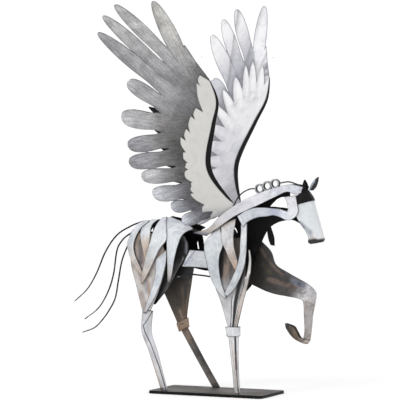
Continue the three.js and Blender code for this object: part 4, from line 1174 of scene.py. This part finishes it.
# Field, extent, cell, details, materials, slot
WING_PLATES = {
    "long_feathers": (long_field, (-145, 80, 330, 790), 1.7, long_details, [STEEL, PEARL], "brushed"),
    "inner_covert": (finger_field, (-85, 80, 366, 676), 1.6, finger_details, [INK, FINGER_PEARL], "pearl"),
    "outer_covert": (covert_field, (-45, 80, 348, 652), 1.4, covert_details, [CREAM, INK], "cream"),
}
for side_name, side in SIDES.items():
    def put(x, z, out, side=side):
        return on_wing(x, z, out, side)

    for plate, (field, extent, cell, details, materials, slot_name) in WING_PLATES.items():
        plate_piece(f"{plate}_{side_name}", field, extent, cell, put, details, materials)
    z = np.linspace(WING_ROOT, WRIST_LEVEL, 81)
    front = smooth(WING_EDGE, z)[:, 1]
    x = np.linspace(front, front - np.maximum(strip_width(z), 0.4), 5, axis=1)
    grid = on_wing(x, np.repeat(z[:, None], 5, 1), np.zeros_like(x), side)
    ribbon(f"wing_edge_{side_name}", grid, (0, side, 0), ((EDGE_BLACK, EDGE_BLACK, "black")))

# ---- Neck and head

for side_name, side in SIDES.items():
    ribbon(f"mane_strip_{side_name}", ruled_grid(
        [(-36, 34, 323), (-3, 33, 333), (18, 25.5, 356), (49, 16, 380), (94, 14, 402), (142, 10, 418),
         (170, 12.5, 422), (194, 15, 418)],
        [(-4, 39, 318), (23, 36, 337), (55, 31, 359), (95, 24, 378), (137, 20, 398), (160, 16, 408),
         (177, 15, 403), (190, 15, 406)],
        side=side, crown=0.6, steps=80, across=14,
    ), (0, side, 0), WHITE_STRIP, stops=[
        (0, (84, 84, 100)), (2, (112, 112, 128)), (6, (176, 166, 158)), (14, (204, 196, 190)),
        (22, (218, 216, 220)), (50, (226, 225, 232)), (85, (226, 228, 236)), (100, (206, 208, 216)),
    ])
    ribbon(f"cheek_strip_{side_name}", ruled_grid(
        [(61, 35, 359), (66, 32, 362), (77, 29, 369), (93, 25, 375), (113, 21.5, 376), (129, 19, 375),
         (144, 17.8, 374), (155, 17.3, 371), (161, 17.3, 370.5), (163, 17.3, 374), (162, 17.3, 380),
         (160, 17.3, 388), (156, 17.3, 398)],
        [(75, 38, 337), (82, 36, 346), (90, 32, 352), (103, 27, 357), (120, 22.5, 359), (132, 19.5, 361),
         (145, 17.8, 358), (157, 17.3, 353), (169, 17.3, 353), (180, 17.3, 360), (185, 17.3, 371),
         (183, 17.8, 382), (180, 18, 401)],
        side=side, steps=96, across=14,
    ), (0, side, 0), WHITE_STRIP, stops=[
        (0, (232, 234, 236)), (10, (206, 209, 216)), (30, (204, 208, 216)), (42, (178, 184, 202)),
        (50, (214, 219, 230)), (75, (234, 236, 242)), (100, (236, 234, 238)),
    ], strokes=[
        ([(2, 7.5), (70, 7.5)], 0.8, (168, 172, 182), 80),
        ([(5, 50), (30, 50)], 1.2, (170, 160, 156), 60),
        ([(6, 65.5)], 1.2, (70, 74, 84), 100),
        ([(100, 3)], 1, DARK, 90), ([(100, 9)], 1, DARK, 90),
    ])
NECK_PLATE = [(54, 363), (78, 370), (99, 372), (113, 375), (125, 386), (138, 396), (160, 397)]
ribbon("throat_strip", ruled_grid(
    [(50, 16, 240), (38, 16.5, 270), (34, 16, 310), (52, 14, 340), (66, 12.5, 357), (98, 10.5, 357),
     (140, 10, 361)],
    [(60, 16, 236), (78, 15, 270), (93, 14, 306), (103, 11.8, 324), (112, 10, 335), (130, 10, 346),
     (159, 10, 353)],
), (0, -1, 0), BLACK)
CREST = [(36, 10, 372), (52, 11, 382), (94, 12.9, 401), (137, 9.4, 414), (176, 7, 418)]
NECK_PLATE_GAP = SHEET / 2 + 2 * FIT
ribbon("neck_plate", ruled_grid(
    [(x, 0, smooth(CREST, x)[0, 2] - NECK_PLATE_GAP) for x, _ in NECK_PLATE],
    [(x, 0, z) for x, z in NECK_PLATE],
), (0, -1, 0), BLACK)
ribbon("crest_strip", mirrored_grid(CREST), (0, 0, 1), BLACK)

CURL_RADIUS = 9.7
CURL_WALL = 3.3
CURL_WIDTH = 8
CURL_COUNT = 3
CURL_OVERLAP = 2.2
FIRST_CURL_X = 98

CURL_FACETS = 40
CURL_SOFT = 0.6
CURL_INNER_SOFT = 0.5


def curled_mane():
    lift = CURL_RADIUS + SHEET / 2 + FIT
    crest = [(x, z) for x, _, z in CREST]
    centres = []
    x = FIRST_CURL_X
    for _ in range(CURL_COUNT):
        slope = (smooth(crest, x + 1)[0, 1] - smooth(crest, x - 1)[0, 1]) / 2
        length = math.hypot(1, slope)
        centres.append((x - slope * lift / length, smooth(crest, x)[0, 1] + lift / length))
        x += (2 * CURL_RADIUS - CURL_OVERLAP) / length
    middle = CURL_RADIUS - CURL_WALL / 2
    inner = CURL_RADIUS - CURL_WALL
    half = CURL_WIDTH / 2
    (first_x, first_z), *_, (last_x, last_z) = centres
    rear = [(38, 0, 376), (43, 0, 388), (55, 0, 402), (72, 0, 411), (first_x - middle, 0, first_z)]
    front = [(last_x + middle, 0, last_z + 1), (156, 0, 427), (170, 0, 424), (182, 0, 419.5)]
    parts = [(*tube(path, WIRE_LOOK * 0.4, 50), None) for path in (rear, front)]
    section = [
        (CURL_RADIUS, CURL_SOFT - half), (CURL_RADIUS, half - CURL_SOFT), (CURL_RADIUS - CURL_SOFT, half),
        (inner + CURL_INNER_SOFT, half), (inner, half - CURL_INNER_SOFT), (inner, CURL_INNER_SOFT - half),
        (inner + CURL_INNER_SOFT, -half), (CURL_RADIUS - CURL_SOFT, -half),
    ]
    quads = between_rings(CURL_FACETS, len(section), closed=True)
    # The rim and the hollow are black: a dark outline, and painted shade inside the rolled strip; the flat
    # sides white
    ring_slots = [2 if k % len(section) in (0, 4, 5) else 1 for k in range(len(quads))]
    for cx, cz in centres:
        ring = []
        ring_places = []
        for k in range(CURL_FACETS):
            angle = 2 * math.pi * k / CURL_FACETS
            for radius, y in section:
                ring.append((cx + radius * math.cos(angle), y, cz + radius * math.sin(angle)))
                ring_places.append((y, k * 1.5, 0 if abs(radius - middle) > 0.55 else 2))
        parts.append((ring, quads, ring_places, ring_slots))
    vertices = []
    faces = []
    places = []
    slots = []
    for new_vertices, new_faces, new_places, new_slots in parts:
        faces += [tuple(v + len(vertices) for v in face) for face in new_faces]
        vertices += new_vertices
        places += new_places
        slots += new_slots or [0] * len(new_faces)
    attributes = {"place": places, "tone": np.tile(tint(236, 238, 242), (len(vertices), 1))}
    finishes = [WIRE_DARK, coat("curl_white", edge=0.5), INK]
    add_piece("curled_mane", vertices, faces, slots, finishes, attributes)


curled_mane()

HEAD = [
    (196, 410, 182, 402, 0, 11), (207, 395, 179, 387, 0, 14), (215, 372, 179, 362, 0, 14),
    (221, 354, 187, 346, 0, 12.5), (226, 338, 197, 332, 0, 10.5), (231, 322, 203, 318, 0, 9),
    (233, 315, 203, 309, 0, 9.5), (230, 310, 208, 305.5, 0, 7.5),
]
channel_piece(
    "face_shell", HEAD, (FACE, INK, "patina"), steps=90, across=48, square=0.6,
    stops=[(0, (220, 224, 226)), (50, (222, 227, 230)), (80, (222, 222, 224)), (100, (224, 220, 220))],
    strokes=[
        # The first and third strokes, bluish grey along the left edge, are painted shade
        ([(0, 42), (4, 62)], 5, (120, 128, 146), 55),
        ([(0, 40), (0, 52)], 1.2, (60, 64, 78), 80),
        ([(2, 62), (6, 80)], 4, (150, 154, 166), 50),
        ([(4, 70), (10, 86)], 3, (196, 180, 170), 60),
        ([(k * 100 / 12, 93) for k in range(13)], 5, (12, 12, 13), 100),
        ([(0, 86), (10, 88)], 6, (14, 14, 15), 100),
        ([(0, 92), (10, 99)], 3.4, (16, 16, 18), 100),
    ],
)
channel_piece("forehead_cap", HEAD, BLACK, steps=64, across=28, square=0.6, grow=LAYER, keep=1 / 6)
JAW = [(160, 16, 354), (174, 15.8, 352.5), (185, 11, 347)]
ribbon("jaw_plate", mirrored_grid(JAW, steps=20), (0, 0, -1), BLACK)


EAR_BASE_SLOPE = 0.55


def ear_grid(base, tip, width, side):
    s = sample([(0, 0.8), (0.35, 1), (0.7, 0.7), (1, 0.12)], 24)
    x, z = base
    length = math.hypot(tip[0] - x, tip[1] - z)
    ax = (tip[0] - x) / length
    az = (tip[1] - z) / length
    k = np.linspace(-1, 1, 9)[None, :]
    along = s[:, 0:1] * length
    half = s[:, 1:2] * width / 2
    slant = EAR_BASE_SLOPE * az * k * half * (1 - s[:, 0:1]) ** 4
    px = x + ax * along + az * k * half
    pz = z + az * along - ax * k * half + slant
    py = side * (9 - 3 * s[:, 1:2] * (1 - k ** 2))
    return np.stack([px, py, pz], -1)


ribbon("ear_right", ear_grid((197, 411.3), (195, 432), 12, -1), (0, -1, 0), BLACK)
ribbon(
    "ear_left", ear_grid((201.5, 411), (217, 437), 12, 1), (0, -1, 0), (LEG, INK, "black"),
    stops=[(0, (16, 16, 18))],
    strokes=[([(12, 5), (16, 60)], 2.6, (196, 208, 226), 90)],
)

# ---- Studio, in metres and degrees

FLOOR_REACH = 30.0
CAMERA_AZIMUTH = 24.9
CAMERA_ELEVATION = 2.57
CAMERA_TARGET = (-0.030, -0.0139, 0.3881)
CAMERA_LENS = 270.0
CAMERA_DISTANCE = 6.0


def studio():
    floor_mesh = bpy.data.meshes.new("floor")
    reach = FLOOR_REACH
    corners = [(-reach, -reach, 0), (reach, -reach, 0), (reach, reach, 0), (-reach, reach, 0)]
    floor_mesh.from_pydata(corners, [], [(0, 1, 2, 3)])
    floor = bpy.data.objects.new("floor", floor_mesh)
    bpy.context.scene.collection.objects.link(floor)
    ground = Paint("floor_white", 0.8)
    floor_mesh.materials.append(ground.done((0.98, 0.98, 0.98)))

    world = bpy.data.worlds.new("studio")
    world.use_nodes = True
    world.node_tree.nodes["Background"].inputs["Color"].default_value = (1, 1, 1, 1)
    world.node_tree.nodes["Background"].inputs["Strength"].default_value = 1.03
    bpy.context.scene.world = world

    def lamp(name, place, energy, size):
        data = bpy.data.lights.new(name, "AREA")
        data.energy = energy
        data.size = size
        obj = bpy.data.objects.new(name, data)
        obj.location = place
        obj.rotation_euler = (Vector((0, 0, 0.4)) - Vector(place)).to_track_quat("-Z", "Y").to_euler()
        bpy.context.scene.collection.objects.link(obj)

    lamp("key", (-1.2, -2.6, 2.6), 26.0, 1.2)
    lamp("fill", (2.4, -1.8, 1.4), 8.0, 1.6)

    azimuth = math.radians(CAMERA_AZIMUTH)
    elevation = math.radians(CAMERA_ELEVATION)
    target = Vector(CAMERA_TARGET)
    level = math.cos(elevation)
    back = Vector((math.sin(azimuth) * level, -math.cos(azimuth) * level, math.sin(elevation)))
    camera_data = bpy.data.cameras.new("camera")
    camera_data.lens = CAMERA_LENS
    camera_data.sensor_width = 36.0
    camera_data.clip_end = 100.0
    camera = bpy.data.objects.new("camera", camera_data)
    camera.location = target + back * CAMERA_DISTANCE
    camera.rotation_euler = (-back).to_track_quat("-Z", "Y").to_euler()
    bpy.context.scene.collection.objects.link(camera)
    bpy.context.scene.camera = camera


studio()
bpy.context.scene.view_settings.view_transform = "Standard"
